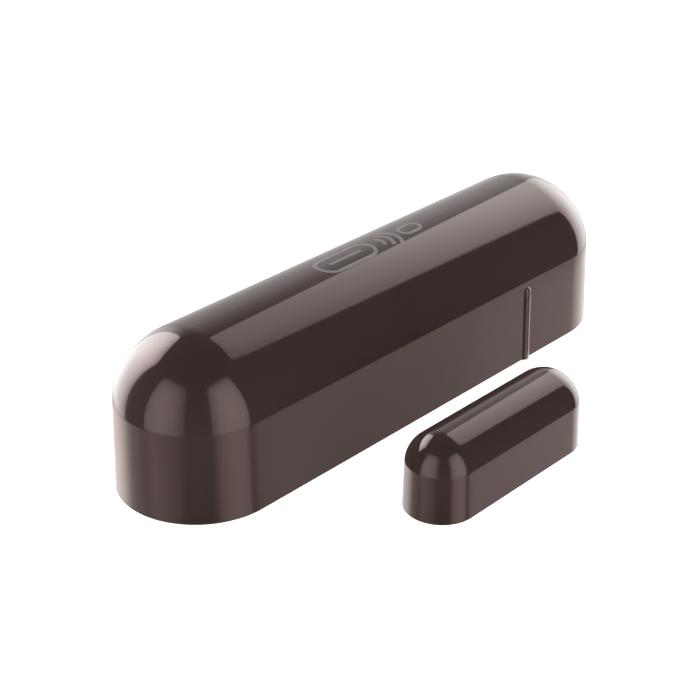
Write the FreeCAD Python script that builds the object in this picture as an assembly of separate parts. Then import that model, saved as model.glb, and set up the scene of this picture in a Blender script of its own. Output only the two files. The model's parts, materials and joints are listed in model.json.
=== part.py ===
"""Two-piece magnetic door contact sensor.

The sensor half is a long capsule that sticks or screws to a frame. It holds a half-AA cell, a circuit board, a
reed switch, a radio module and a tamper plunger. The small capsule beside it holds the bar magnet and rides on
the door. Both shells have drafted walls, an arched top and a foot that stands just clear of the surface.

Millimetres. The origin is the middle of the sensor's mounting face, +X runs along the sensor towards its reed
switch, the magnet unit lies on the -Y side, and +Z points away from the mounting surface.
"""
import FreeCAD
import Part
import os
from math import atan2, cos, hypot, pi, sin, sqrt

V = FreeCAD.Vector
UP = V(0, 0, 1)
ALONG = V(1, 0, 0)

# ---------------------------------------------------------------- shells
SENSOR = {
    "length": 76.0,    # overall, at the foot
    "width": 19.2,     # overall, at the foot
    "height": 19.0,
    "spring": 10.9,    # where the arch springs from the wall
    "draft": 0.25,     # how far each wall leans in between foot and spring
    "wall": 1.25,
    "rounding": 4.0,   # softens the shallow crease at the spring
}
MAGNET_UNIT = {
    "length": 26.8,
    "width": 8.5,
    "height": 9.3,
    "spring": 5.75,
    "draft": 0.15,
    "wall": 1.0,
    "rounding": 1.8,
}
MAGNET_X = -5.5        # centre of the magnet unit, as it is laid beside the sensor
MAGNET_GAP = 9.5       # between the two units' feet
FOOT_GAP = 0.15        # the shells' rims stand this far off the surface
RIM_CHAMFER = 0.15

MARK_FROM_END = 19.15  # alignment mark, and the middle of the reed switch behind it
MARK_WIDTH = 1.3
MARK_PROUD = 0.35
MARK_TOP = 9.9

# ---------------------------------------------------------------- bases and adhesive
PAD_THICK = 0.6
PAD_FROM_HOLE = 3.1    # pad's end to the fixing hole's countersink
PAD_FROM_EDGE = 2.1    # pad's side to the base's side
PAD_CORNER = 3.0
FLOOR = 1.2
FIT = 0.12             # clearance between a base and the shell around it
LIP_HEIGHT = 2.4
LIP_WALL = 0.8
HOOK_INSET = 6.4       # hook to the end of the straight wall
HOOK_WIDTH = 4.0
HOOK_SLOT = 0.5
BEAD = 0.4             # how far a snap bead stands out of the lip
BEAD_HEIGHT = 0.6
POCKET_DEPTH = 0.45    # in the shell's inner wall, for the bead
POCKET_SPARE = 0.25    # the pocket is larger than the bead by this all round
FIXING_HOLE_R = 1.6
FIXING_HEAD_R = 2.8
FIXING_EDGE = 4.6      # hole centre to the base's end
BOSS_WALL = 0.7
BOSS_HEIGHT = 0.6
WIRE_SLOT = (3.2, 2.2)

# ---------------------------------------------------------------- board and battery
STANDOFF = 0.4
BOARD_THICK = 0.8
BOARD_CLEAR = 0.15
BOARD_END_CLEAR = 0.4  # board to the fixing bosses
PILOT_R = 0.85
BOARD_SCREW_R = 0.8
BOARD_SCREW_HEAD_R = 1.5
BOARD_SCREW_HEAD = 0.7
BOARD_SCREW_INSET = 2.35   # from the board's edge
BOARD_HOLE_R = 1.1

CELL_RADIUS = 7.1
CELL_LENGTH = 25.0
CELL_WRAP = 0.15
CELL_WALL = 0.3
CELL_ROUND = 0.5       # the can's closed rim
CELL_MOUTH_ROUND = 0.15
CELL_LID = 0.6
CELL_CORE_CLEAR = 0.1
CELL_NUB_R = 2.6
CELL_NUB = 1.0
CELL_GAP = 0.05        # cell to board
HOLDER_WALL = 1.0
HOLDER_RAIL = 0.55
HOLDER_RAIL_HEIGHT = 3.6
HOLDER_END_HEIGHT = 10.4
CONTACT_THICK = 0.3
SPRING_ROOM = 2.2      # cell to the negative contact plate
LEAF_ROOM = 1.2        # cell to the positive contact plate
CONTACT_WIDTH = 7.0
CELL_WRAP_LAP = 1.4    # the sleeve's turned-in width at each end
HOLDER_CORNER = 2.0
CELL_SPRING_R = 2.4
CELL_SPRING_WIRE_R = 0.25
CELL_SPRING_TURNS = 3
LEAF_SPAN = 5.2
LEAF_WIDTH = 2.4
LEAF_CLEAR = 0.02      # leaf to pip

# ---------------------------------------------------------------- electronics
ZONE_GAP = 0.6         # between neighbours on the board
EDGE_GAP = 0.05        # neighbours to the board's edge
SWITCH_SIDE = 6.0
SWITCH_HEIGHT = 4.4
SWITCH_WALL = 0.5
PLUNGER_R = 1.5
PLUNGER_CLEAR = 0.3
PLUNGER_TRAVEL = 1.0
FLANGE_R = 2.2
FLANGE = 0.5
GUIDE_R = 0.9
SPRING_R = 1.5
SPRING_WIRE_R = 0.15
SPRING_TURNS = 3

POLES = 3
POLE_PITCH = 2.54
TERMINAL_DEPTH = 6.6
TERMINAL_HEIGHT = 7.5
TERMINAL_SCREW_R = 1.0
WIRE_ENTRY = (1.7, 2.0)

MODULE_LENGTH = 13.0
MODULE_THICK = 0.8
SHIELD_LENGTH = 9.4
SHIELD_HEIGHT = 2.0
SHIELD_SHEET = 0.2
SHIELD_MARGIN = 0.6
ANTENNA_R = 2.2
ANTENNA_WIRE_R = 0.35
ANTENNA_KNUCKLE_R = 0.4    # where the coil turns down into its leg
ANTENNA_PITCH = 1.3
ANTENNA_TURNS = 8

GLASS_LENGTH = 14.0
GLASS_R = 1.1
GLASS_BORE_R = 0.75
GLASS_SEAL = 1.2
LEAD_R = 0.25
LEAD_CLEAR = 0.02
LEAD_REACH = 1.3       # beyond the glass at each end
BLADE_WIDTH = 1.0
BLADE_THICK = 0.2
BLADE_OVERLAP = 1.2
BLADE_GAP = 0.05
REED_LIFT = 0.3        # glass to board
REED_INSET = 1.35      # glass axis to the board's edge

STRIP_GAP = 0.4
STRIP_PARTS = [        # along X, along Y and height, from the terminals' edge towards the reed switch
    (2.4, 3.4, 1.8),   # tantalum capacitor
    (2.0, 1.2, 0.9),   # ceramic capacitors
    (2.0, 1.2, 0.9),
    (1.6, 0.8, 0.5),   # resistors
    (1.6, 0.8, 0.5),
    (2.0, 1.2, 0.5),   # status light
]
LED_LENS_R = 0.5

# ---------------------------------------------------------------- magnet
BAR_FROM_BOSS = 0.3
BAR_WIDTH = 4.6
BAR_HEIGHT = 3.6
BAR_CLEAR = 0.05
CRADLE_WALL = 0.6
CRADLE_HEIGHT = 2.0
MAGNET_HOLE_R = 1.3
MAGNET_HEAD_R = 2.3
MAGNET_HOLE_EDGE = 2.95
MAGNET_BOSS = 0.4
MAGNET_BOSS_WALL = 0.5
MAGNET_BEAD = 0.25
MAGNET_PAD_WIDTH = 5.0

# ---------------------------------------------------------------- levels
FLOOR_TOP = PAD_THICK + FLOOR
LIP_TOP = FLOOR_TOP + LIP_HEIGHT
BOARD_BOTTOM = FLOOR_TOP + STANDOFF
BOARD_TOP = BOARD_BOTTOM + BOARD_THICK
CELL_Z = BOARD_TOP + CELL_GAP + CELL_RADIUS
BEAD_Z = FLOOR_TOP + LIP_HEIGHT / 2
MAGNET_Y = -(SENSOR["width"] / 2 + MAGNET_GAP + MAGNET_UNIT["width"] / 2)
MARK_X = SENSOR["length"] / 2 - MARK_FROM_END
HOOK_X = SENSOR["length"] / 2 - SENSOR["width"] / 2 - HOOK_INSET


# ================================================================ shape helpers
def box(x0, x1, y0, y1, z0, z1):
    return Part.makeBox(x1 - x0, y1 - y0, z1 - z0, V(x0, y0, z0))


def post(radius, z0, z1, x=0.0, y=0.0):
    return Part.makeCylinder(radius, z1 - z0, V(x, y, z0), UP)


def rod(radius, x0, x1, y, z):
    return Part.makeCylinder(radius, x1 - x0, V(x0, y, z), ALONG)


def ball(radius, x, y, z):
    return Part.makeSphere(radius, V(x, y, z))


def stadium(length, width, z0, z1, x=0.0):
    """A prism with straight sides and half-round ends."""
    r = width / 2
    c = length / 2 - r
    edges = [
        Part.LineSegment(V(x - c, -r, z0), V(x + c, -r, z0)).toShape(),
        Part.Arc(V(x + c, -r, z0), V(x + c + r, 0, z0), V(x + c, r, z0)).toShape(),
        Part.LineSegment(V(x + c, r, z0), V(x - c, r, z0)).toShape(),
        Part.Arc(V(x - c, r, z0), V(x - c - r, 0, z0), V(x - c, -r, z0)).toShape(),
    ]
    return Part.Face(Part.Wire(edges)).extrude(V(0, 0, z1 - z0))


def rounded_plate(x0, x1, y0, y1, z0, z1, radius):
    plate = box(x0, x1, y0, y1, z0, z1)
    upright = [e for e in plate.Edges if abs(e.tangentAt(e.FirstParameter).z) > 0.99]
    return plate.makeFillet(radius, upright)


def countersink(x, head_r, hole_r, top, bottom):
    """Cutter for a 45 degree countersunk hole through a base."""
    cone = Part.makeCone(hole_r, head_r, head_r - hole_r, V(x, 0, top - (head_r - hole_r)), UP)
    return cone.fuse(post(hole_r, bottom - 1, top, x)).fuse(post(head_r, top, top + 1, x))


def half_at(unit, z, inset=0.0):
    """Half-width of a shell's drafted wall at height z, taken in by inset."""
    return unit["width"] / 2 - inset - unit["draft"] * z / unit["spring"]


def arch_points(unit, inset, foot):
    """One side of the arched section, as (y, z) points: foot, wall end, two arcs with their middles, crown."""
    spring, crown = unit["spring"], unit["height"] - inset
    half = half_at(unit, spring, inset)
    rise = crown - spring
    arch_r = (rise * rise + half * half) / (2 * rise)
    centre_z = crown - arch_r
    soft = max(unit["rounding"] - inset, unit["rounding"] / 4)
    lean = hypot(unit["draft"], spring)
    up = (-unit["draft"] / lean, spring / lean)
    inward = (-up[1], up[0])
    # the rounding's centre is soft inside the wall's line and soft inside the arch
    base = (half + soft * inward[0], spring + soft * inward[1] - centre_z)
    b = base[0] * up[0] + base[1] * up[1]
    c = base[0] ** 2 + base[1] ** 2 - (arch_r - soft) ** 2
    slide = -b - sqrt(b * b - c)
    slide_up = -b + sqrt(b * b - c)
    slide = slide if abs(slide) < abs(slide_up) else slide_up
    cy, cz = base[0] + slide * up[0], base[1] + slide * up[1] + centre_z
    wall_end = (cy - soft * inward[0], cz - soft * inward[1])
    reach = hypot(cy, cz - centre_z)
    arch_start = (arch_r * cy / reach, centre_z + arch_r * (cz - centre_z) / reach)
    a0 = atan2(-inward[1], -inward[0])
    a1 = atan2(arch_start[1] - cz, arch_start[0] - cy)
    middle = (cy + soft * cos((a0 + a1) / 2), cz + soft * sin((a0 + a1) / 2))
    a2 = atan2(arch_start[1] - centre_z, arch_start[0])
    flank = (a2 + pi / 2) / 2
    arch_middle = (arch_r * cos(flank), centre_z + arch_r * sin(flank))
    return (half_at(unit, foot, inset), foot), wall_end, middle, arch_start, arch_middle, (0.0, crown)


def arch_side(unit, x, s, inset, foot, chamfer):
    """Edges of one side of the section at x, from the foot to the crown, and the half-width they start at."""
    foot_point, wall_end, middle, arch_start, arch_middle, crown = arch_points(unit, inset, foot)

    def at(point):
        return V(x, s * point[0], point[1])

    edges = []
    start, foot_half = foot_point, foot_point[0] - chamfer
    if chamfer:
        start = (half_at(unit, foot + chamfer, inset), foot + chamfer)
        edges.append(Part.LineSegment(at((foot_half, foot)), at(start)).toShape())
    edges.append(Part.LineSegment(at(start), at(wall_end)).toShape())
    edges.append(Part.Arc(at(wall_end), at(middle), at(arch_start)).toShape())
    edges.append(Part.Arc(at(arch_start), at(arch_middle), at(crown)).toShape())
    return edges, foot_half


def arch_solid(unit, inset=0.0, foot=FOOT_GAP, chamfer=0.0):
    """A capsule with drafted walls and an arched top, standing on the plane z = foot."""
    c = unit["length"] / 2 - unit["width"] / 2
    crown = unit["height"] - inset

    def half_face(x):
        edges, foot_half = arch_side(unit, x, 1, inset, foot, chamfer)
        edges.append(Part.LineSegment(V(x, 0, crown), V(x, 0, foot)).toShape())
        edges.append(Part.LineSegment(V(x, 0, foot), V(x, foot_half, foot)).toShape())
        return Part.Face(Part.Wire(Part.__sortEdges__(edges)))

    left, foot_half = arch_side(unit, -c, 1, inset, foot, chamfer)
    right, _ = arch_side(unit, -c, -1, inset, foot, chamfer)
    floor = Part.LineSegment(V(-c, -foot_half, foot), V(-c, foot_half, foot)).toShape()
    section = Part.Face(Part.Wire(Part.__sortEdges__(left + right + [floor])))
    straight = section.extrude(V(2 * c, 0, 0))
    far_end = half_face(c).revolve(V(c, 0, 0), UP, -180)
    near_end = half_face(-c).revolve(V(-c, 0, 0), UP, 180)
    return straight.fuse([far_end, near_end]).removeSplitter()


def cavity(unit):
    """The space inside a shell, run on below its rim so that it cuts clean."""
    return arch_solid(unit, inset=unit["wall"], foot=-1.0)


def coil(radius, wire_r, pitch, turns, start, turn):
    """A round-wire helix that rises along +Z, then is turned and moved to start."""
    path = Part.makeHelix(pitch, pitch * turns, radius)
    slope = atan2(pitch, 2 * pi * radius)
    ring = Part.Wire(Part.makeCircle(wire_r, V(radius, 0, 0), V(0, cos(slope), sin(slope))))
    wire = Part.Wire(path.Edges).makePipeShell([ring], True, True)
    wire.Placement = FreeCAD.Placement(start, turn)
    return wire


def upright():
    return FreeCAD.Rotation()


def lying():
    """Turns +Z to +X and +X to -Y, so a helix lies along X and starts on its -Y side."""
    return FreeCAD.Rotation(V(0, -1, 0), V(0, 0, -1), ALONG, "ZXY")


def together(solids):
    return Part.makeCompound(solids)


# ================================================================ sensor: shell and base
BASE_HALF = half_at(SENSOR, LIP_TOP, SENSOR["wall"]) - FIT
BASE_LENGTH = SENSOR["length"] - SENSOR["width"] + 2 * BASE_HALF
LIP_INNER = BASE_HALF - LIP_WALL
FIXING_X = BASE_LENGTH / 2 - FIXING_EDGE
BOARD_HALF = LIP_INNER - BOARD_CLEAR
BOARD_X = FIXING_X - FIXING_HEAD_R - BOSS_WALL - BOARD_END_CLEAR

# along the board, from the battery end to the reed end
HOLDER_X0 = -BOARD_X
CELL_X0 = HOLDER_X0 + HOLDER_WALL + CONTACT_THICK + SPRING_ROOM
CELL_X1 = CELL_X0 + CELL_LENGTH
HOLDER_X1 = CELL_X1 + LEAF_ROOM + CONTACT_THICK + HOLDER_WALL
PARTS_X0 = HOLDER_X1 + ZONE_GAP
SWITCH_X = PARTS_X0 + SWITCH_SIDE / 2
SWITCH_Y = -BOARD_HALF + EDGE_GAP + SWITCH_SIDE / 2
TERMINAL_Y1 = BOARD_HALF - EDGE_GAP
TERMINAL_Y0 = TERMINAL_Y1 - POLES * POLE_PITCH
TERMINAL_X1 = PARTS_X0 + TERMINAL_DEPTH
MODULE_X1 = BOARD_X - ZONE_GAP / 2
MODULE_X0 = MODULE_X1 - MODULE_LENGTH
REED_Y = -BOARD_HALF + REED_INSET
REED_Z = BOARD_TOP + REED_LIFT + GLASS_R
MODULE_Y0 = REED_Y + GLASS_R + ZONE_GAP
MODULE_Y1 = BOARD_HALF - 3 * EDGE_GAP
MODULE_TOP = BOARD_TOP + MODULE_THICK
BOARD_SCREWS = [
    (CELL_X0 + CELL_LENGTH * 0.2, BOARD_HALF - BOARD_SCREW_INSET),
    (CELL_X0 + CELL_LENGTH * 0.8, -BOARD_HALF + BOARD_SCREW_INSET),
]


def snap_spots():
    """The four snap hooks, as (x, side)."""
    return [(x, s) for x in (-HOOK_X, HOOK_X) for s in (-1, 1)]


def alignment_rib():
    """The raised line on the wall that the magnet is set against."""
    r = (MARK_WIDTH ** 2 / 4 + MARK_PROUD ** 2) / (2 * MARK_PROUD)
    depth = r - MARK_PROUD
    low = V(MARK_X, -half_at(SENSOR, FOOT_GAP) + depth, FOOT_GAP)
    top_z = MARK_TOP - MARK_WIDTH / 2
    high = V(MARK_X, -half_at(SENSOR, top_z) + depth, top_z)
    along = high - low
    stem = Part.makeCylinder(r, along.Length, low, along)
    cap = Part.makeSphere(r, high)
    below = box(MARK_X - 2 * r, MARK_X + 2 * r, low.y - 2 * r, low.y + 2 * r, FOOT_GAP - 2 * r, FOOT_GAP)
    return stem.fuse(cap).cut(below)


def sensor_cover():
    shell = arch_solid(SENSOR, chamfer=RIM_CHAMFER).fuse(alignment_rib()).cut(cavity(SENSOR))
    pocket_z = BEAD_HEIGHT / 2 + POCKET_SPARE
    pocket_x = HOOK_WIDTH / 2 + POCKET_SPARE
    for x, s in snap_spots():
        inner = half_at(SENSOR, BEAD_Z, SENSOR["wall"])
        y0, y1 = sorted((s * (inner - 1.0), s * (inner + POCKET_DEPTH)))
        shell = shell.cut(box(x - pocket_x, x + pocket_x, y0, y1, BEAD_Z - pocket_z, BEAD_Z + pocket_z))
    return shell


def snap_bead(x, half_length, outer, out, z, height, s):
    """A wedge-nosed bead along X on a wall whose outer face is at s * outer."""
    points = [(outer - 0.2, z - height / 2), (outer, z - height / 2), (outer + out, z), (outer, z + height / 2)]
    points.append((outer - 0.2, z + height / 2))
    wire = Part.makePolygon([V(x - half_length, s * y, zz) for y, zz in points + points[:1]])
    return Part.Face(wire).extrude(V(2 * half_length, 0, 0))


def sensor_base():
    plate = stadium(BASE_LENGTH, 2 * BASE_HALF, PAD_THICK, LIP_TOP)
    plate = plate.cut(stadium(BASE_LENGTH - 2 * LIP_WALL, 2 * LIP_INNER, FLOOR_TOP, LIP_TOP + 1))
    adds, cuts = [], []
    for x, s in snap_spots():
        adds.append(snap_bead(x, HOOK_WIDTH / 2, BASE_HALF, BEAD, BEAD_Z, BEAD_HEIGHT, s))
        y0, y1 = sorted((s * (LIP_INNER - 0.1), s * (BASE_HALF + 0.1)))
        for side in (-1, 1):
            mid = x + side * (HOOK_WIDTH + HOOK_SLOT) / 2
            cuts.append(box(mid - HOOK_SLOT / 2, mid + HOOK_SLOT / 2, y0, y1, FLOOR_TOP, LIP_TOP + 1))
    for s in (-1, 1):
        x = s * FIXING_X
        adds.append(post(FIXING_HEAD_R + BOSS_WALL, FLOOR_TOP - 0.1, FLOOR_TOP + BOSS_HEIGHT, x))
        cuts.append(countersink(x, FIXING_HEAD_R, FIXING_HOLE_R, FLOOR_TOP + BOSS_HEIGHT, PAD_THICK))
        for y in (-BOARD_HALF + 1.5, BOARD_HALF - 1.5):
            foot_x = s * (BOARD_X - 2.0)
            adds.append(box(foot_x - 1.5, foot_x + 1.5, y - 1.0, y + 1.0, FLOOR_TOP - 0.1, BOARD_BOTTOM))
    for x, y in BOARD_SCREWS:
        adds.append(post(BOARD_SCREW_HEAD_R + 0.5, FLOOR_TOP - 0.1, BOARD_BOTTOM, x, y))
        cuts.append(post(PILOT_R, PAD_THICK + 0.3, BOARD_BOTTOM + 1, x, y))
    cuts.append(post(PLUNGER_R + PLUNGER_CLEAR, 0, FLOOR_TOP + 1, SWITCH_X, SWITCH_Y))
    slot_x, slot_y = WIRE_SLOT[0] / 2, WIRE_SLOT[1] / 2
    mid_y = (FIXING_HEAD_R + BOSS_WALL + LIP_INNER) / 2
    mid_x = BOARD_X + ZONE_GAP + slot_x
    cuts.append(rounded_plate(mid_x - slot_x, mid_x + slot_x, mid_y - slot_y, mid_y + slot_y, 0, LIP_TOP, 0.8))
    return plate.fuse(adds).cut(cuts).removeSplitter()


def sensor_pad():
    half_x = FIXING_X - FIXING_HEAD_R - PAD_FROM_HOLE
    half_y = BASE_HALF - PAD_FROM_EDGE
    pad = rounded_plate(-half_x, half_x, -half_y, half_y, 0, PAD_THICK, PAD_CORNER)
    return pad.cut(post(PLUNGER_R + 2 * PLUNGER_CLEAR, -1, 1, SWITCH_X, SWITCH_Y))


# ================================================================ board and battery
def main_board():
    board = rounded_plate(-BOARD_X, BOARD_X, -BOARD_HALF, BOARD_HALF, BOARD_BOTTOM, BOARD_TOP, 0.8)
    holes = [post(BOARD_HOLE_R, 0, BOARD_TOP + 1, x, y) for x, y in BOARD_SCREWS]
    holes.append(post(PLUNGER_R + PLUNGER_CLEAR, 0, BOARD_TOP + 1, SWITCH_X, SWITCH_Y))
    return board.cut(holes)


def board_screws():
    """Pan-head screws that hold the board down on the base's bosses."""
    screws = []
    for x, y in BOARD_SCREWS:
        shank = post(BOARD_SCREW_R, PAD_THICK + 0.4, BOARD_TOP, x, y)
        head = post(BOARD_SCREW_HEAD_R, BOARD_TOP, BOARD_TOP + BOARD_SCREW_HEAD, x, y)
        rim = [e for e in head.Edges if abs(e.CenterOfMass.z - BOARD_TOP - BOARD_SCREW_HEAD) < 1e-6]
        head = head.makeFillet(0.3, rim)
        top = BOARD_TOP + BOARD_SCREW_HEAD
        for turn in (0, 90):
            slot = box(-0.9, 0.9, -0.2, 0.2, top - 0.4, top + 1)
            slot.rotate(V(0, 0, 0), UP, turn)
            slot.translate(V(x, y, 0))
            head = head.cut(slot)
        screws.append(shank.fuse(head))
    return together(screws)


def rounded_rod(radius, x0, x1, round0, round1):
    """A lying cylinder whose two rims have their own roundings."""
    bar = rod(radius, x0, x1, 0, CELL_Z)
    for x, rounding in ((x0, round0), (x1, round1)):
        bar = bar.makeFillet(rounding, [e for e in bar.Edges if e.Closed and abs(e.CenterOfMass.x - x) < 1e-6])
    return bar


def cell_can():
    """Deep-drawn cup, open at the positive end."""
    x0, x1 = CELL_X0 + CELL_WRAP, CELL_X1 - CELL_NUB - CELL_WRAP
    can = rounded_rod(CELL_RADIUS - CELL_WRAP, x0, x1, CELL_ROUND, CELL_MOUTH_ROUND)
    return can.cut(rod(CELL_RADIUS - CELL_WRAP - CELL_WALL, x0 + CELL_WALL, x1 + 1, 0, CELL_Z))


def cell_core():
    """The wound or pressed electrodes, one mass inside the can."""
    x0, x1 = CELL_X0 + CELL_WRAP + CELL_WALL, CELL_X1 - CELL_NUB - CELL_WRAP - CELL_LID
    radius = CELL_RADIUS - CELL_WRAP - CELL_WALL - CELL_CORE_CLEAR
    return rod(radius, x0 + CELL_CORE_CLEAR, x1 - CELL_CORE_CLEAR, 0, CELL_Z)


def cell_lid():
    """The lid set in the can's mouth, with the positive pip on it."""
    x1 = CELL_X1 - CELL_NUB - CELL_WRAP
    lid = rod(CELL_RADIUS - CELL_WRAP - CELL_WALL, x1 - CELL_LID, x1, 0, CELL_Z)
    pip = rod(CELL_NUB_R, x1, CELL_X1, 0, CELL_Z)
    pip = pip.makeFillet(0.3, [e for e in pip.Edges if e.Closed and e.CenterOfMass.x > CELL_X1 - 0.1])
    return lid.fuse(pip)


def cell_wrap():
    """The sleeve, shrunk round the can and turned in a little over both its ends."""
    x0, x1 = CELL_X0, CELL_X1 - CELL_NUB
    tube = rounded_rod(CELL_RADIUS, x0, x1, CELL_ROUND + CELL_WRAP, CELL_MOUTH_ROUND + CELL_WRAP)
    inner = rounded_rod(CELL_RADIUS - CELL_WRAP, x0 + CELL_WRAP, x1 - CELL_WRAP, CELL_ROUND, CELL_MOUTH_ROUND)
    window = rod(CELL_RADIUS - CELL_WRAP_LAP, x0 - 1, x1 + 1, 0, CELL_Z)
    return tube.cut(inner).cut(window)


def cell_holder():
    """An open frame that the cell drops into, with an end wall behind each contact."""
    top = BOARD_TOP + HOLDER_RAIL_HEIGHT
    frame = box(HOLDER_X0, HOLDER_X1, -BOARD_HALF, BOARD_HALF, BOARD_TOP, top)
    frame = frame.cut(box(HOLDER_X0 + HOLDER_WALL, HOLDER_X1 - HOLDER_WALL,
                          -BOARD_HALF + HOLDER_RAIL, BOARD_HALF - HOLDER_RAIL, 0, top + 1))
    for x in (HOLDER_X0, HOLDER_X1 - HOLDER_WALL):
        wall = box(x, x + HOLDER_WALL, -BOARD_HALF, BOARD_HALF, BOARD_TOP, BOARD_TOP + HOLDER_END_HEIGHT)
        corners = [e for e in wall.Edges
                   if abs(e.tangentAt(e.FirstParameter).x) > 0.99 and e.CenterOfMass.z > top]
        frame = frame.fuse(wall.makeFillet(HOLDER_CORNER, corners))
    return frame.removeSplitter()


def contact_plate(x0):
    """Flat nickel plate with a solder tail, standing against a holder wall."""
    x1 = x0 + CONTACT_THICK
    half = CONTACT_WIDTH / 2
    plate = box(x0, x1, -half, half, BOARD_TOP + 1.2, BOARD_TOP + HOLDER_END_HEIGHT - 0.4)
    return plate.fuse(box(x0, x1, -half / 3, half / 3, BOARD_TOP, BOARD_TOP + 1.3))


def negative_contact():
    return contact_plate(HOLDER_X0 + HOLDER_WALL)


def negative_spring():
    """Coil between the negative contact plate and the can's flat end."""
    room = SPRING_ROOM - 2 * CELL_SPRING_WIRE_R
    start = V(HOLDER_X0 + HOLDER_WALL + CONTACT_THICK + CELL_SPRING_WIRE_R, 0, CELL_Z)
    return coil(CELL_SPRING_R, CELL_SPRING_WIRE_R, room / CELL_SPRING_TURNS, CELL_SPRING_TURNS, start, lying())


def positive_contact():
    """Plate with a bowed leaf that the pip rests against."""
    x0 = HOLDER_X1 - HOLDER_WALL - CONTACT_THICK
    root, tip = x0 + 0.1, x0 - LEAF_ROOM + LEAF_CLEAR
    half = LEAF_SPAN / 2

    def bow(x_root, x_tip, reach):
        return Part.Arc(V(x_root, 0, CELL_Z - reach), V(x_tip, 0, CELL_Z), V(x_root, 0, CELL_Z + reach)).toShape()

    outer = bow(root, tip, half)
    inner = bow(root, tip + CONTACT_THICK, half - 0.4)
    feet = [Part.LineSegment(V(root, 0, CELL_Z + s * half), V(root, 0, CELL_Z + s * (half - 0.4))).toShape()
            for s in (-1, 1)]
    leaf = Part.Face(Part.Wire(Part.__sortEdges__([outer, inner] + feet))).extrude(V(0, LEAF_WIDTH, 0))
    leaf.translate(V(0, -LEAF_WIDTH / 2, 0))
    return contact_plate(x0).fuse(leaf)


# ================================================================ tamper switch
PLUNGER_FLANGE_Z = BOARD_TOP + SWITCH_WALL + PLUNGER_TRAVEL + 0.1
SWITCH_TOP = BOARD_TOP + SWITCH_HEIGHT


def tamper_body():
    half = SWITCH_SIDE / 2
    body = rounded_plate(SWITCH_X - half, SWITCH_X + half, SWITCH_Y - half, SWITCH_Y + half,
                         BOARD_TOP, SWITCH_TOP, 0.4)
    body = body.cut(post(FLANGE_R + 0.2, BOARD_TOP + SWITCH_WALL, SWITCH_TOP - SWITCH_WALL, SWITCH_X, SWITCH_Y))
    return body.cut(post(PLUNGER_R + PLUNGER_CLEAR / 2, 0, BOARD_TOP + 1, SWITCH_X, SWITCH_Y))


def tamper_plunger():
    """Pin that the mounting surface holds up. It drops when the sensor is pulled off."""
    stem = post(PLUNGER_R, 0, PLUNGER_FLANGE_Z, SWITCH_X, SWITCH_Y)
    stem = stem.makeFillet(0.4, [e for e in stem.Edges if e.Closed and e.CenterOfMass.z < 1e-6])
    flange = post(FLANGE_R, PLUNGER_FLANGE_Z, PLUNGER_FLANGE_Z + FLANGE, SWITCH_X, SWITCH_Y)
    guide = post(GUIDE_R, PLUNGER_FLANGE_Z, PLUNGER_FLANGE_Z + FLANGE + 0.6, SWITCH_X, SWITCH_Y)
    return stem.fuse(flange).fuse(guide)


def tamper_spring():
    low = PLUNGER_FLANGE_Z + FLANGE + SPRING_WIRE_R + 0.02
    high = SWITCH_TOP - SWITCH_WALL - SPRING_WIRE_R - 0.02
    pitch = (high - low) / SPRING_TURNS
    return coil(SPRING_R, SPRING_WIRE_R, pitch, SPRING_TURNS, V(SWITCH_X, SWITCH_Y, low), upright())


def tamper_pins():
    pins = []
    for sx in (-1, 1):
        for sy in (-1, 1):
            x, y = SWITCH_X + sx * (SWITCH_SIDE / 2 + 0.1), SWITCH_Y + sy * SWITCH_SIDE / 4
            pins.append(box(x - 0.1, x + 0.1, y - 0.35, y + 0.35, BOARD_TOP, BOARD_TOP + 1.4))
    return together(pins)


# ================================================================ terminals for an outside contact
def pole_y(n):
    return TERMINAL_Y0 + (n + 0.5) * POLE_PITCH


TERMINAL_TOP = BOARD_TOP + TERMINAL_HEIGHT
ENTRY_Z = BOARD_TOP + 3.2
SCREW_SEAT = ENTRY_Z + WIRE_ENTRY[1] + 0.4


def terminal_block():
    block = box(PARTS_X0, TERMINAL_X1, TERMINAL_Y0, TERMINAL_Y1, BOARD_TOP, TERMINAL_TOP)
    lead_in = [e for e in block.Edges
               if abs(e.tangentAt(e.FirstParameter).y) > 0.99 and e.CenterOfMass.z > TERMINAL_TOP - 0.1]
    block = block.makeChamfer(0.8, lead_in)
    half = WIRE_ENTRY[0] / 2
    screw_x = (PARTS_X0 + TERMINAL_X1) / 2
    cuts = []
    for n in range(POLES):
        y = pole_y(n)
        cuts.append(box(PARTS_X0 + 1.2, TERMINAL_X1 + 1, y - half, y + half, ENTRY_Z, ENTRY_Z + WIRE_ENTRY[1]))
        cuts.append(post(TERMINAL_SCREW_R + 0.1, ENTRY_Z + 1, TERMINAL_TOP + 1, screw_x, y))
    return block.cut(cuts)


def terminal_screws():
    screw_x = (PARTS_X0 + TERMINAL_X1) / 2
    top = TERMINAL_TOP - 0.5
    screws = []
    for n in range(POLES):
        y = pole_y(n)
        screw = post(TERMINAL_SCREW_R, SCREW_SEAT, top, screw_x, y)
        slot = box(screw_x - 0.15, screw_x + 0.15, y - 2, y + 2, top - 0.4, top + 1)
        screws.append(screw.cut(slot))
    return together(screws)


def terminal_clamps():
    """A brass cage behind each wire entry."""
    half, height = WIRE_ENTRY[0] / 2 - 0.05, WIRE_ENTRY[1] - 0.1
    x0, x1 = PARTS_X0 + 1.3, TERMINAL_X1 - 1.0
    cages = []
    for n in range(POLES):
        y = pole_y(n)
        cage = box(x0, x1, y - half, y + half, ENTRY_Z + 0.05, ENTRY_Z + 0.05 + height)
        hollow = box(x0 - 1, x1 + 1, y - half + 0.25, y + half - 0.25, ENTRY_Z + 0.3, ENTRY_Z + height - 0.2)
        cages.append(cage.cut(hollow))
    return together(cages)


# ================================================================ radio
def module_board():
    return rounded_plate(MODULE_X0, MODULE_X1, MODULE_Y0, MODULE_Y1, BOARD_TOP, MODULE_TOP, 0.3)


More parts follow.
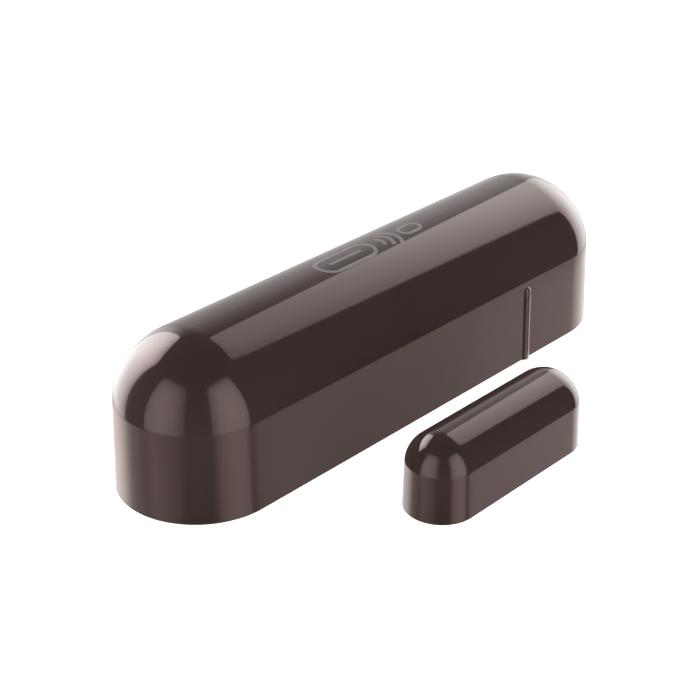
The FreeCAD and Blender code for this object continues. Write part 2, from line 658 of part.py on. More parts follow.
def shield_can():
    """Folded tin can over the radio, open underneath."""
    x0 = MODULE_X0 + SHIELD_MARGIN
    x1 = x0 + SHIELD_LENGTH
    y0, y1 = MODULE_Y0 + SHIELD_MARGIN, MODULE_Y1 - SHIELD_MARGIN
    can = box(x0, x1, y0, y1, MODULE_TOP, MODULE_TOP + SHIELD_HEIGHT)
    outer = [e for e in can.Edges if e.CenterOfMass.z > MODULE_TOP + 0.1]
    can = can.makeFillet(0.35, outer)
    return can.cut(box(x0 + SHIELD_SHEET, x1 - SHIELD_SHEET, y0 + SHIELD_SHEET, y1 - SHIELD_SHEET,
                       MODULE_TOP - 1, MODULE_TOP + SHIELD_HEIGHT - SHIELD_SHEET))


SHIELD_TOP = MODULE_TOP + SHIELD_HEIGHT
ANTENNA_X = MODULE_X1 - ANTENNA_WIRE_R - 0.4
ANTENNA_Y = (MODULE_Y0 + MODULE_Y1) / 2
ANTENNA_Z = SHIELD_TOP + 0.3 + ANTENNA_R + ANTENNA_WIRE_R


def antenna_coil():
    """Helical quarter-wave antenna over the shield, with one leg down to its pad."""
    length = ANTENNA_PITCH * ANTENNA_TURNS
    start = V(ANTENNA_X - length, ANTENNA_Y, ANTENNA_Z)
    wire = coil(ANTENNA_R, ANTENNA_WIRE_R, ANTENNA_PITCH, ANTENNA_TURNS, start, lying())
    leg_y = ANTENNA_Y - ANTENNA_R
    leg = post(ANTENNA_WIRE_R, MODULE_TOP, ANTENNA_Z, ANTENNA_X, leg_y)
    return wire.fuse([leg, ball(ANTENNA_KNUCKLE_R, ANTENNA_X, leg_y, ANTENNA_Z)])


def radio_crystal():
    x0 = MODULE_X0 + SHIELD_MARGIN + SHIELD_LENGTH + SHIELD_MARGIN / 2
    return rounded_plate(x0, x0 + 1.6, MODULE_Y1 - 3.6, MODULE_Y1 - 1.0, MODULE_TOP, MODULE_TOP + 0.8, 0.3)


# ================================================================ reed switch
BORE_X0 = MARK_X - GLASS_LENGTH / 2 + GLASS_SEAL
BORE_X1 = MARK_X + GLASS_LENGTH / 2 - GLASS_SEAL
LEAD_X0 = MARK_X - GLASS_LENGTH / 2 - LEAD_REACH
LEAD_X1 = MARK_X + GLASS_LENGTH / 2 + LEAD_REACH
BLADE_ROOT = 0.05      # stub to blade, where the moving blade flexes


def reed_glass():
    x0, x1 = MARK_X - GLASS_LENGTH / 2, MARK_X + GLASS_LENGTH / 2
    tube = rod(GLASS_R, x0, x1, REED_Y, REED_Z)
    tube = tube.makeFillet(0.7, [e for e in tube.Edges if e.Closed])
    tube = tube.cut(rod(GLASS_BORE_R, BORE_X0, BORE_X1, REED_Y, REED_Z))
    return tube.cut(rod(LEAD_R + LEAD_CLEAR, x0 - 1, x1 + 1, REED_Y, REED_Z))


def bent_lead(x_out, x_in):
    """Round lead from the bore's end out through the seal, then down to the board."""
    low, high = sorted((x_out, x_in))
    run = rod(LEAD_R, low, high, REED_Y, REED_Z)
    drop = post(LEAD_R, BOARD_TOP, REED_Z, x_out, REED_Y)
    return run.fuse(drop).fuse(ball(LEAD_R, x_out, REED_Y, REED_Z))


def blade(x0, x1, z0):
    half = BLADE_WIDTH / 2
    return box(x0, x1, REED_Y - half, REED_Y + half, z0, z0 + BLADE_THICK)


def reed_fixed():
    low = REED_Z + BLADE_GAP / 2
    arm = blade(MARK_X - BLADE_OVERLAP / 2, BORE_X1 - 0.1, low)
    return bent_lead(LEAD_X1, BORE_X1 - 0.6).fuse(arm)


def reed_stub():
    return bent_lead(LEAD_X0, BORE_X0 + 0.1)


def reed_moving():
    return blade(BORE_X0 + 0.1 + BLADE_ROOT, MARK_X + BLADE_OVERLAP / 2, REED_Z - BLADE_GAP / 2 - BLADE_THICK)


# ================================================================ small parts between terminals and radio
STRIP_X = (TERMINAL_X1 + MODULE_X0) / 2


def strip_part(n):
    """Part n of the row, set in from the board's edge past the ones before it."""
    along_x, along_y, height = STRIP_PARTS[n]
    y1 = TERMINAL_Y1 - STRIP_GAP - sum(part[1] + STRIP_GAP for part in STRIP_PARTS[:n])
    return box(STRIP_X - along_x / 2, STRIP_X + along_x / 2, y1 - along_y, y1, BOARD_TOP, BOARD_TOP + height)


def tantalum():
    body = strip_part(0)
    top = BOARD_TOP + STRIP_PARTS[0][2]
    return body.makeChamfer(0.2, [e for e in body.Edges if e.CenterOfMass.z > top - 0.1])


def led_lens():
    body = strip_part(5)
    middle = body.CenterOfMass
    top = BOARD_TOP + STRIP_PARTS[5][2]
    dome = ball(LED_LENS_R, middle.x, middle.y, top)
    return dome.common(box(middle.x - 1, middle.x + 1, middle.y - 1, middle.y + 1, top, top + 1))


# ================================================================ magnet unit
MAGNET_BASE_HALF = half_at(MAGNET_UNIT, FLOOR_TOP, MAGNET_UNIT["wall"]) - FIT
MAGNET_BASE_LENGTH = MAGNET_UNIT["length"] - MAGNET_UNIT["width"] + 2 * MAGNET_BASE_HALF
MAGNET_HOLE_X = MAGNET_BASE_LENGTH / 2 - MAGNET_HOLE_EDGE
MAGNET_BOSS_R = MAGNET_HEAD_R + MAGNET_BOSS_WALL
BAR_LENGTH = 2 * (MAGNET_HOLE_X - MAGNET_BOSS_R - BAR_FROM_BOSS)
MAGNET_BEAD_Z = PAD_THICK + FLOOR / 2


def magnet_cover():
    shell = arch_solid(MAGNET_UNIT, chamfer=RIM_CHAMFER).cut(cavity(MAGNET_UNIT))
    inner = half_at(MAGNET_UNIT, MAGNET_BEAD_Z, MAGNET_UNIT["wall"])
    pocket_z = BEAD_HEIGHT / 2 + POCKET_SPARE / 2
    pocket_x = HOOK_WIDTH / 2 + POCKET_SPARE
    for s in (-1, 1):
        y0, y1 = sorted((s * (inner - 0.5), s * (inner + MAGNET_BEAD)))
        shell = shell.cut(box(-pocket_x, pocket_x, y0, y1, MAGNET_BEAD_Z - pocket_z, MAGNET_BEAD_Z + pocket_z))
    return shell


def magnet_base():
    plate = stadium(MAGNET_BASE_LENGTH, 2 * MAGNET_BASE_HALF, PAD_THICK, FLOOR_TOP)
    adds, cuts = [], []
    inner = BAR_WIDTH / 2 + BAR_CLEAR
    for s in (-1, 1):
        y0, y1 = sorted((s * inner, s * (inner + CRADLE_WALL)))
        adds.append(box(-BAR_LENGTH / 2 + 1, BAR_LENGTH / 2 - 1, y0, y1, FLOOR_TOP - 0.1, FLOOR_TOP + CRADLE_HEIGHT))
        adds.append(snap_bead(0, HOOK_WIDTH / 2, MAGNET_BASE_HALF, MAGNET_BEAD, MAGNET_BEAD_Z, BEAD_HEIGHT, s))
        x = s * MAGNET_HOLE_X
        adds.append(post(MAGNET_BOSS_R, FLOOR_TOP - 0.1, FLOOR_TOP + MAGNET_BOSS, x))
        cuts.append(countersink(x, MAGNET_HEAD_R, MAGNET_HOLE_R, FLOOR_TOP + MAGNET_BOSS, PAD_THICK))
    return plate.fuse(adds).cut(cuts).removeSplitter()


def bar_magnet():
    half_x, half_y = BAR_LENGTH / 2, BAR_WIDTH / 2
    bar = box(-half_x, half_x, -half_y, half_y, FLOOR_TOP, FLOOR_TOP + BAR_HEIGHT)
    return bar.makeFillet(0.25, bar.Edges)


def magnet_pad():
    half_x = MAGNET_HOLE_X - MAGNET_HEAD_R
    half_y = MAGNET_PAD_WIDTH / 2
    return rounded_plate(-half_x, half_x, -half_y, half_y, 0, PAD_THICK, 1.0)


def at_magnet(shape):
    shape.translate(V(MAGNET_X, MAGNET_Y, 0))
    return shape


# ================================================================ build
NODES = {
    "sensor_cover": sensor_cover,
    "sensor_base": sensor_base,
    "sensor_adhesive_pad": sensor_pad,
    "main_board": main_board,
    "board_screws": board_screws,
    "cell_can": cell_can,
    "cell_core": cell_core,
    "cell_lid": cell_lid,
    "cell_wrap": cell_wrap,
    "cell_holder": cell_holder,
    "negative_contact": negative_contact,
    "negative_contact_spring": negative_spring,
    "positive_contact": positive_contact,
    "tamper_switch_body": tamper_body,
    "tamper_plunger": tamper_plunger,
    "tamper_spring": tamper_spring,
    "tamper_switch_pins": tamper_pins,
    "terminal_block": terminal_block,
    "terminal_screws": terminal_screws,
    "terminal_clamps": terminal_clamps,
    "radio_module_board": module_board,
    "radio_shield_can": shield_can,
    "radio_crystal": radio_crystal,
    "antenna_coil": antenna_coil,
    "reed_glass": reed_glass,
    "reed_fixed_blade": reed_fixed,
    "reed_lead": reed_stub,
    "reed_moving_blade": reed_moving,
    "tantalum_capacitor": tantalum,
    "ceramic_capacitors": lambda: together([strip_part(1), strip_part(2)]),
    "chip_resistors": lambda: together([strip_part(3), strip_part(4)]),
    "status_led_body": lambda: strip_part(5),
    "status_led_lens": led_lens,
    "magnet_cover": lambda: at_magnet(magnet_cover()),
    "magnet_base": lambda: at_magnet(magnet_base()),
    "bar_magnet": lambda: at_magnet(bar_magnet()),
    "magnet_adhesive_pad": lambda: at_magnet(magnet_pad()),
}


def main():
    os.makedirs("parts", exist_ok=True)
    for name, make in NODES.items():
        make().exportStep(f"parts/{name}.step")


main()
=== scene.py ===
"""Door contact sensor: fine shapes, finishes and studio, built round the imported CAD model.

The sensor is a long glossy capsule and the magnet unit is a short one beside it. The shells are swept by
rule from one drafted, arched section. Under the sensor's shell are a half-AA cell in a holder, a circuit board,
a tamper switch, screw terminals, a radio module with its coil antenna, and a reed switch in glass.

Metres. The frame's origin is the middle of the sensor's mounting face, +X towards the reed switch, +Z up.
"""
import json
from math import atan2, cos, hypot, pi, radians, sin, sqrt

import bmesh
import bpy
from mathutils import Matrix, Vector

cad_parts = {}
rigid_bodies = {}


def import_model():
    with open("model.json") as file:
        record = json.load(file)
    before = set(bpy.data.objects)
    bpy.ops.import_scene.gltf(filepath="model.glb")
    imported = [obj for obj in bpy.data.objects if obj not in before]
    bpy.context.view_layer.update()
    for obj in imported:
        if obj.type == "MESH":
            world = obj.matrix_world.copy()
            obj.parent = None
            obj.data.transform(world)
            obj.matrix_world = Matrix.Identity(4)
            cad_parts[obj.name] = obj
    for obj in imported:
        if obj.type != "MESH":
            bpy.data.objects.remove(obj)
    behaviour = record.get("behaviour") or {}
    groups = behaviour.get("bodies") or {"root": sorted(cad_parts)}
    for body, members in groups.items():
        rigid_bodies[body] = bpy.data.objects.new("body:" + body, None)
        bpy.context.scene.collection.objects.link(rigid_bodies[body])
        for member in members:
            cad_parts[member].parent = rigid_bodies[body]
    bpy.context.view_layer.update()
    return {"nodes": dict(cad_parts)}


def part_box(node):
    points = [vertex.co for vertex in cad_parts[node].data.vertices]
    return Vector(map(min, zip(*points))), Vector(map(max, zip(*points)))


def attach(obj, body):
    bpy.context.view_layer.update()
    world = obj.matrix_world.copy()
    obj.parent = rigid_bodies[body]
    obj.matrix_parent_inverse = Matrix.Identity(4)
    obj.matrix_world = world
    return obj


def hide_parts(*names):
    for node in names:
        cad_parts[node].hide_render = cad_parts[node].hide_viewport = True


bl_info = {
    "name": "Door Contact Sensor",
    "version": (1, 0, 0),
    "blender": (4, 5, 0),
    "location": "View3D > Sidebar > Contact Sensor",
    "description": "Builds a two-piece magnetic door contact sensor with everything under its shell",
    "category": "Object",
}

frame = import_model()

MM = 0.001
FOOT_GAP = 0.05 * MM           # the shells' rims stand this far off the surface
RIM_ROUND = 0.12 * MM
PLATE = "sensor_back_plate"    # bodies
SHELL = "sensor_shell"
CELL = "cell"
MAGNET_PLATE = "magnet_back_plate"
MAGNET_SHELL = "magnet_shell"
MERGE = 1e-7                   # vertices nearer than this are one


# ---------------------------------------------------------------- sizes and colours
def distance(name, description, millimetres):
    return bpy.props.FloatProperty(
        name=name, description=description, default=millimetres * MM, unit="LENGTH", subtype="DISTANCE",
        precision=5)


def colour(name, description, default):
    return bpy.props.FloatVectorProperty(
        name=name, description=description, default=default, subtype="COLOR", size=3, min=0, max=1)


def factor(name, description, default, highest=1.0):
    return bpy.props.FloatProperty(
        name=name, description=description, default=default, min=0, max=highest, subtype="FACTOR")


class SensorShellSizes(bpy.types.PropertyGroup):
    """Sizes of the sensor's shell."""
    length: distance("Length", "Overall length at the foot", 76.0)
    width: distance("Width", "Overall width at the foot", 19.2)
    height: distance("Height", "From the mounting surface to the crown", 19.0)
    spring: distance("Spring height", "Where the arch springs from the wall", 10.9)
    draft: distance("Draft", "How far each wall leans in between foot and spring", 0.25)
    wall: distance("Wall", "Wall thickness", 1.25)
    rounding: distance("Rounding", "Radius that softens the crease at the spring", 4.0)


class MagnetShellSizes(bpy.types.PropertyGroup):
    """Sizes of the magnet unit's shell."""
    length: distance("Length", "Overall length at the foot", 26.8)
    width: distance("Width", "Overall width at the foot", 8.5)
    height: distance("Height", "From the mounting surface to the crown", 9.3)
    spring: distance("Spring height", "Where the arch springs from the wall", 5.75)
    draft: distance("Draft", "How far each wall leans in between foot and spring", 0.15)
    wall: distance("Wall", "Wall thickness", 1.0)
    rounding: distance("Rounding", "Radius that softens the crease at the spring", 1.8)


class DetailSizes(bpy.types.PropertyGroup):
    """Sizes of the small shapes on and under the shells."""
    rib_from_end: distance("Rib from end", "Alignment rib to the sensor's far end", 19.15)
    rib_width: distance("Rib width", "Width of the alignment rib on the wall", 1.3)
    rib_proud: distance("Rib height", "How far the alignment rib stands out", 0.35)
    rib_top: distance("Rib top", "Height of the alignment rib's top", 9.9)
    mark_stroke: distance("Mark stroke", "Width of the printed mark's lines", 0.5)
    soft_edge: distance("Soft edge", "Edge rounding on moulded inner pieces", 0.12)


class Finishes(bpy.types.PropertyGroup):
    """Colours of the main finishes."""
    shell: colour("Shell", "Body colour of the glossy shells", (0.0435, 0.0285, 0.0270))
    shell_gloss: colour("Shell gloss", "Tint of the shells' reflections seen face on", (1.0, 0.76, 0.71))
    base: colour("Base", "Back plates", (0.020, 0.0135, 0.013))
    mark: colour("Mark", "Printed mark on the crown", (0.135, 0.122, 0.120))
    board: colour("Board", "Solder mask of the circuit boards", (0.012, 0.072, 0.040))
    sleeve: colour("Sleeve", "Shrunk sleeve round the cell", (0.055, 0.13, 0.30))
    holder: colour("Holder", "Moulded cell holder", (0.020, 0.020, 0.022))
    terminals: colour("Terminals", "Moulded terminal block", (0.03, 0.20, 0.10))


class Studio(bpy.types.PropertyGroup):
    """Camera, floor and lights."""
    place: bpy.props.FloatVectorProperty(
        name="Camera place", description="Where the camera stands", subtype="XYZ", unit="LENGTH", precision=6,
        default=(-0.143862, -0.126398, 0.105510))
    aim: bpy.props.FloatVectorProperty(
        name="Camera aim", description="What the camera looks at", subtype="XYZ", unit="LENGTH", precision=6,
        default=(-0.002753, 0.000724, 0.006021))
    lens: bpy.props.FloatProperty(
        name="Lens", description="Focal length on a 36 mm sensor", default=91.85, min=1, unit="CAMERA")
    light: factor("Light", "Strength of all the softboxes", 1.0, 10.0)
    floor: colour("Floor", "Studio floor", (0.9, 0.9, 0.9))


class ContactSensorSettings(bpy.types.PropertyGroup):
    """Everything that can be changed before the pieces are built."""
    sensor: bpy.props.PointerProperty(name="Sensor shell", type=SensorShellSizes)
    magnet: bpy.props.PointerProperty(name="Magnet shell", type=MagnetShellSizes)
    detail: bpy.props.PointerProperty(name="Details", type=DetailSizes)
    finish: bpy.props.PointerProperty(name="Finishes", type=Finishes)
    studio: bpy.props.PointerProperty(name="Studio", type=Studio)


def settings():
    return bpy.context.scene.contact_sensor


# ---------------------------------------------------------------- node trees
class Field:
    """A value in a node tree. Arithmetic and comparisons on it add Math nodes to that tree."""

    def __init__(self, nodes, socket):
        self.nodes, self.socket = nodes, socket

    def __add__(self, other):
        return self.nodes.math("ADD", self, other)

    def __sub__(self, other):
        return self.nodes.math("SUBTRACT", self, other)

    def __rsub__(self, other):
        return self.nodes.math("SUBTRACT", other, self)

    def __mul__(self, other):
        return self.nodes.math("MULTIPLY", self, other)

    def __truediv__(self, other):
        return self.nodes.math("DIVIDE", self, other)

    def __gt__(self, other):
        return self.nodes.math("GREATER_THAN", self, other)

    def __lt__(self, other):
        return self.nodes.math("LESS_THAN", self, other)

    def __abs__(self):
        return self.nodes.math("ABSOLUTE", self)


class Nodes:
    """Adds nodes to a tree, and links or sets their inputs in the same call."""

    def __init__(self, tree):
        self.tree = tree

    def put(self, socket, value):
        if isinstance(value, Field):
            self.tree.links.new(value.socket, socket)
        else:
            socket.default_value = value

    def add(self, kind, inputs=None, **choices):
        made = self.tree.nodes.new(kind)
        for key, value in choices.items():
            setattr(made, key, value)
        for key, value in (inputs or {}).items():
            self.put(made.inputs[key], value)
        return made

    def field(self, kind, inputs=None, output=0, **choices):
        """Adds a node and returns one of its outputs."""
        return Field(self, self.add(kind, inputs, **choices).outputs[output])

    def named(self, sockets):
        return {socket.name: Field(self, socket) for socket in sockets if socket.name}

    def group(self, tree, **values):
        """Adds a group with its named inputs set, and returns its outputs by name."""
        made = self.add("ShaderNodeGroup", node_tree=tree)
        for label, value in values.items():
            self.put(made.inputs[label.replace("_", " ")], value)
        return self.named(made.outputs)

    def math(self, operation, *values):
        return self.field("ShaderNodeMath", dict(enumerate(values)), operation=operation)

    def most(self, a, b):
        return self.math("MAXIMUM", a, b)

    def least(self, a, b):
        return self.math("MINIMUM", a, b)

    def vector(self, operation, *values):
        return self.field("ShaderNodeVectorMath", dict(enumerate(values)), operation=operation)

    def length(self, vector):
        return self.field("ShaderNodeVectorMath", {0: vector}, "Value", operation="LENGTH")

    def scaled(self, vector, scale):
        return self.field("ShaderNodeVectorMath", {0: vector, "Scale": scale}, operation="SCALE")

    def combine(self, x=0.0, y=0.0, z=0.0):
        return self.field("ShaderNodeCombineXYZ", {0: x, 1: y, 2: z})

    def split(self, vector):
        return [Field(self, socket) for socket in self.add("ShaderNodeSeparateXYZ", {0: vector}).outputs]

    def place(self):
        return self.field("ShaderNodeTexCoord", output="Object")

    def ramp(self, value, low, high, to_low=0.0, to_high=1.0, smooth=True):
        """Maps value from low..high to to_low..to_high, clamped."""
        return self.field("ShaderNodeMapRange", {"Value": value, "From Min": low, "From Max": high,
                                                 "To Min": to_low, "To Max": to_high}, "Result",
                          interpolation_type="SMOOTHSTEP" if smooth else "LINEAR")

    def curve(self, value, points):
        """A smooth curve through (input, output) points, both from 0 to 1."""
        made = self.add("ShaderNodeFloatCurve", {"Value": value})
        line = made.mapping.curves[0]
        line.points[0].location, line.points[1].location = points[0], points[-1]
        for x, y in points[1:-1]:
            line.points.new(x, y)
        made.mapping.update()
        return Field(self, made.outputs[0])

    def mix(self, amount, a, b):
        return self.field("ShaderNodeMix", {0: amount, 6: a, 7: b}, 2, data_type="RGBA")

    def noise(self, where, scale, detail=2.0, roughness=0.5):
        return self.field("ShaderNodeTexNoise", {"Vector": where, "Scale": scale, "Detail": detail,
                                                 "Roughness": roughness}, "Fac")

    def chance(self, where):
        """A random number from 0 to 1 that depends only on the vector where."""
        return self.field("ShaderNodeTexWhiteNoise", {"Vector": where}, "Value", noise_dimensions="3D")


def new_group(name, kind, inputs, outputs):
    """A node group with named inputs as (name, type, default) and outputs as (name, type)."""
    tree = bpy.data.node_groups.new(name, kind)
    for label, socket, default in inputs:
        made = tree.interface.new_socket(label, in_out="INPUT", socket_type="NodeSocket" + socket)
        if default is not None:
            made.default_value = default
    for label, socket in outputs:
        tree.interface.new_socket(label, in_out="OUTPUT", socket_type="NodeSocket" + socket)
    nodes = Nodes(tree)
    return nodes, nodes.named(nodes.add("NodeGroupInput").outputs), nodes.add("NodeGroupOutput").inputs


def shared(build):
    """Builds a tree once. Its name is the function's, and later calls find it by that name."""
    name = build.__name__.replace("_", " ")
    return lambda: bpy.data.node_groups.get(name) or build(name)


# ---------------------------------------------------------------- shared shader effects
@shared
def surface_detail(name):
    """Colour drift, uneven gloss and a fine grain, for any moulded, painted or metal surface."""
    nodes, given, out = new_group(name, "ShaderNodeTree", [
        ("Colour", "Color", (0.5, 0.5, 0.5, 1)),
        ("Colour Drift", "Float", 0.1),
        ("Roughness", "Float", 0.4),
        ("Roughness Drift", "Float", 0.1),
        ("Scale", "Float", 400.0),
        ("Grain Scale", "Float", 9000.0),
        ("Grain", "Float", 0.3),
        ("Stretch", "Vector", (1, 1, 1)),
    ], [("Colour", "Color"), ("Roughness", "Float"), ("Height", "Float")])
    stretched = nodes.vector("MULTIPLY", nodes.place(), given["Stretch"])
    broad = nodes.noise(stretched, given["Scale"], 3.0)
    fine = nodes.noise(stretched, given["Grain Scale"], 2.0, 0.6)
    level = (broad - 0.5) * given["Colour Drift"] * 2.0 + 1.0
    nodes.put(out["Colour"], nodes.scaled(given["Colour"], level))
    uneven = (broad - 0.5) + (fine - 0.5)
    nodes.put(out["Roughness"], nodes.most(uneven * given["Roughness Drift"] + given["Roughness"], 0.02))
    nodes.put(out["Height"], fine * given["Grain"])
    return nodes.tree


@shared
def handling_wear(name):
    """Fine hairline scuffs and dull patches, as a mask, for surfaces that are handled."""
    nodes, given, out = new_group(name, "ShaderNodeTree", [
        ("Scale", "Float", 120.0),
        ("Amount", "Float", 0.3),
        ("Hairline Scale", "Float", 1600.0),
    ], [("Mask", "Float"), ("Hairlines", "Float")])
    where = nodes.place()
    patches = nodes.ramp(nodes.noise(where, given["Scale"], 4.0, 0.6), 0.48, 0.72)
    lines = nodes.vector("MULTIPLY", where, (0.04, 1.0, 1.0))
    streaks = nodes.ramp(nodes.noise(lines, given["Hairline Scale"], 1.0), 0.66, 0.70)
    nodes.put(out["Mask"], patches * given["Amount"])
    nodes.put(out["Hairlines"], streaks * patches * given["Amount"])
    return nodes.tree


@shared
def board_tracks(name):
    """Copper tracks under solder mask: runs of straight lines that step aside, and a scatter of vias."""
    nodes, given, out = new_group(name, "ShaderNodeTree", [
        ("Pitch", "Float", 0.00075),
        ("Width", "Float", 0.34),
    ], [("Track", "Float"), ("Via", "Float"), ("Hole", "Float")])
    cells = nodes.vector("DIVIDE", nodes.place(), nodes.combine(given["Pitch"], given["Pitch"], 1.0))
    x, y, _ = nodes.split(cells)

    def cell_chance(*per_cell):
        return nodes.chance(nodes.vector("FLOOR", nodes.vector("MULTIPLY", cells, per_cell)))

    # each long cell of the board picks whether its tracks run along X or along Y, or turn aside
    patch = cell_chance(0.14, 0.21, 0.0)
    turned = patch > 0.62
    slanted = patch < 0.30
    across = turned * x + (1.0 - turned) * y + slanted * x
    line = abs(nodes.math("FRACT", across) - 0.5)
    kept = nodes.chance(nodes.combine(nodes.math("FLOOR", across), patch)) > 0.42
    nodes.put(out["Track"], (line < given["Width"] * 0.5) * kept)
    spot = nodes.vector("SUBTRACT", nodes.vector("FRACTION", nodes.scaled(cells, 0.5)), (0.5, 0.5, 0.5))
    far = nodes.length(nodes.vector("MULTIPLY", spot, (1, 1, 0)))
    here = cell_chance(0.5, 0.5, 0.0) > 0.86
    nodes.put(out["Via"], (far < 0.25) * here)
    nodes.put(out["Hole"], (far < 0.12) * here)
    return nodes.tree


# ---------------------------------------------------------------- materials
def rgba(three):
    return (three[0], three[1], three[2], 1.0)


def material(name, tone, rough, drift=0.1, rough_drift=0.1, scale=400.0, grain_scale=9000.0, grain=0.3,
             depth=0.004, stretch=(1, 1, 1), metallic=0.0, extra=None, **shader):
    """A Principled material over the shared surface detail. extra(nodes, detail) may return changed sockets."""
    name += "_finish"
    found = bpy.data.materials.get(name)
    if found:
        return found
    made = bpy.data.materials.new(name)
    made.use_nodes = True
    made.node_tree.nodes.clear()
    nodes = Nodes(made.node_tree)
    sockets = nodes.group(surface_detail(), Colour=rgba(tone), Colour_Drift=drift, Roughness=rough,
                          Roughness_Drift=rough_drift, Scale=scale, Grain_Scale=grain_scale, Grain=grain,
                          Stretch=stretch)
    sockets["Metallic"] = metallic
    if extra:
        sockets.update(extra(nodes, sockets))
    bump = nodes.field("ShaderNodeBump", {"Height": sockets["Height"], "Strength": 1.0, "Distance": depth * MM})
    surface = nodes.add("ShaderNodeBsdfPrincipled", {
        "Base Color": sockets["Colour"], "Roughness": sockets["Roughness"], "Metallic": sockets["Metallic"],
        "Normal": bump})
    for label, value in shader.items():
        surface.inputs[label.replace("_", " ")].default_value = value
    nodes.add("ShaderNodeOutputMaterial", {"Surface": Field(nodes, surface.outputs[0])})
    made.diffuse_color = rgba(tone)
    return made


def worn(amount, patch_scale=120.0, dull=0.12):
    """An extra step that dulls handled patches and raises hairline scuffs."""
    def step(nodes, sockets):
        wear = nodes.group(handling_wear(), Scale=patch_scale, Amount=amount)
        return {"Roughness": wear["Hairlines"] * 0.2 + (wear["Mask"] * dull + sockets["Roughness"]),
                "Height": sockets["Height"] - wear["Hairlines"] * 0.6}
    return step


def shell_gloss():
    """Polished, faintly warm dark brown plastic, with the slight unevenness of a moulded face."""
    finish = settings().finish
    return material("shell_gloss", finish.shell, 0.055, drift=0.05, rough_drift=0.025, scale=90.0,
                    grain_scale=2600.0, grain=0.22, depth=0.0016, extra=worn(0.10, 60.0, 0.08),
                    Specular_Tint=rgba(finish.shell_gloss), IOR=1.5)


def mark_ink():
    return material("mark_ink", settings().finish.mark, 0.34, drift=0.12, rough_drift=0.12, scale=900.0,
                    grain_scale=14000.0, grain=0.6, depth=0.003)


def base_plastic():
    return material("base_plastic", settings().finish.base, 0.42, drift=0.14, scale=250.0, grain_scale=7000.0,
                    grain=0.9, depth=0.012, extra=worn(0.35))


def adhesive_foam():
    def cells(nodes, sockets):
        pores = nodes.field("ShaderNodeTexVoronoi", {"Vector": nodes.place(), "Scale": 4200.0}, "Distance")
        pore_shade_and_height = nodes.ramp(pores, 0.0, 0.55)
        # the pits of the pores are painted a darker grey: painted shade in the pores, beside their real dip in
        # height
        return {"Colour": nodes.mix(nodes.ramp(pore_shade_and_height, 0.2, 0.9), (0.28, 0.28, 0.27, 1), sockets["Colour"]),
                "Height": sockets["Height"] + pore_shade_and_height}
    return material("adhesive_foam", (0.62, 0.62, 0.60), 0.85, scale=500.0, depth=0.03, extra=cells)


def circuit_board():
    """Green solder mask with raised tracks, tinned vias with their bores painted near black as shade, and a bare
    laminate edge.
    """
    def tracks(nodes, sockets):
        lines = nodes.group(board_tracks())
        up = nodes.split(nodes.field("ShaderNodeNewGeometry", output="Normal"))[2]
        face = abs(up) > 0.6
        track, via, bore_with_painted_shade = (lines[name] * face for name in ("Track", "Via", "Hole"))
        tone = nodes.mix(track, sockets["Colour"], nodes.scaled(sockets["Colour"], 2.1))
        tone = nodes.mix(via, tone, (0.60, 0.50, 0.30, 1))
        # the via's bore is painted near black: painted shade inside the hole
        tone = nodes.mix(bore_with_painted_shade, tone, (0.01, 0.01, 0.01, 1))
        tone = nodes.mix(face, (0.30, 0.26, 0.12, 1), tone)
        ring = via - bore_with_painted_shade
        height = nodes.most(track, ring) + sockets["Height"] * 0.3
        return {"Colour": tone, "Metallic": ring, "Roughness": sockets["Roughness"] + (1.0 - face) * 0.4,
                "Height": height - bore_with_painted_shade * 2.0}
    return material("circuit_board", settings().finish.board, 0.26, drift=0.18, scale=700.0, depth=0.02,
                    extra=tracks)


def brushed(name, tone, rough, stretch=(1, 12, 12), **more):
    return material(name, tone, rough, drift=0.10, rough_drift=0.22, scale=260.0, grain_scale=1500.0, grain=0.7,
                    depth=0.004, stretch=stretch, metallic=1.0, **more)


def screw_steel():
    return brushed("screw_steel", (0.50, 0.50, 0.51), 0.28, (3, 3, 3), extra=worn(0.6, 500.0))


def cell_steel():
    return brushed("cell_steel", (0.62, 0.62, 0.63), 0.22, (6, 1, 1))


def cell_electrode():
    return material("cell_electrode", (0.05, 0.05, 0.055), 0.7, grain=0.8, depth=0.02)


def cell_sleeve():
    """Shrunk printed sleeve: a plain colour, a pale band at the positive end and a seam along the side."""
    pale, dark = (0.60, 0.60, 0.60, 1), (0.03, 0.05, 0.12, 1)
    stroke, arm = 0.25 * MM, 1.2 * MM    # half the width and half the length of a sign's stroke

    def print_on(nodes, sockets):
        x, y, z = nodes.split(nodes.place())
        low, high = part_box("cell_wrap")
        middle = (low.z + high.z) / 2
        tone = nodes.mix(x > high.x - 5.2 * MM, sockets["Colour"], pale)
        tone = nodes.mix(abs(x - (high.x - 6.2 * MM)) < 0.3 * MM, tone, pale)
        # a plus sign on the band and a minus sign at the other end, both on the upper side
        for centre, is_plus in ((high.x - 2.6 * MM, True), (low.x + 3.2 * MM, False)):
            along, around = abs(x - centre), abs(y)
            sign = (along < stroke) * (around < arm)
            if is_plus:
                sign = nodes.most(sign, (along < arm) * (around < stroke))
            tone = nodes.mix(sign * (z > middle), tone, dark if is_plus else pale)
        seam = nodes.ramp(abs(z - middle), 0.0, 0.12 * MM)
        return {"Colour": tone, "Height": sockets["Height"] + seam}
    return material("cell_sleeve", settings().finish.sleeve, 0.24, drift=0.06, scale=300.0, depth=0.012,
                    extra=print_on)


def holder_plastic():
    return material("holder_plastic", settings().finish.holder, 0.46, drift=0.15, scale=300.0, grain=1.0,
                    depth=0.01, extra=worn(0.4))


def contact_nickel():
    return brushed("contact_nickel", (0.66, 0.63, 0.58), 0.20)


def switch_plastic():
    return material("switch_plastic", (0.022, 0.022, 0.023), 0.38, scale=600.0, grain=0.8, depth=0.008)


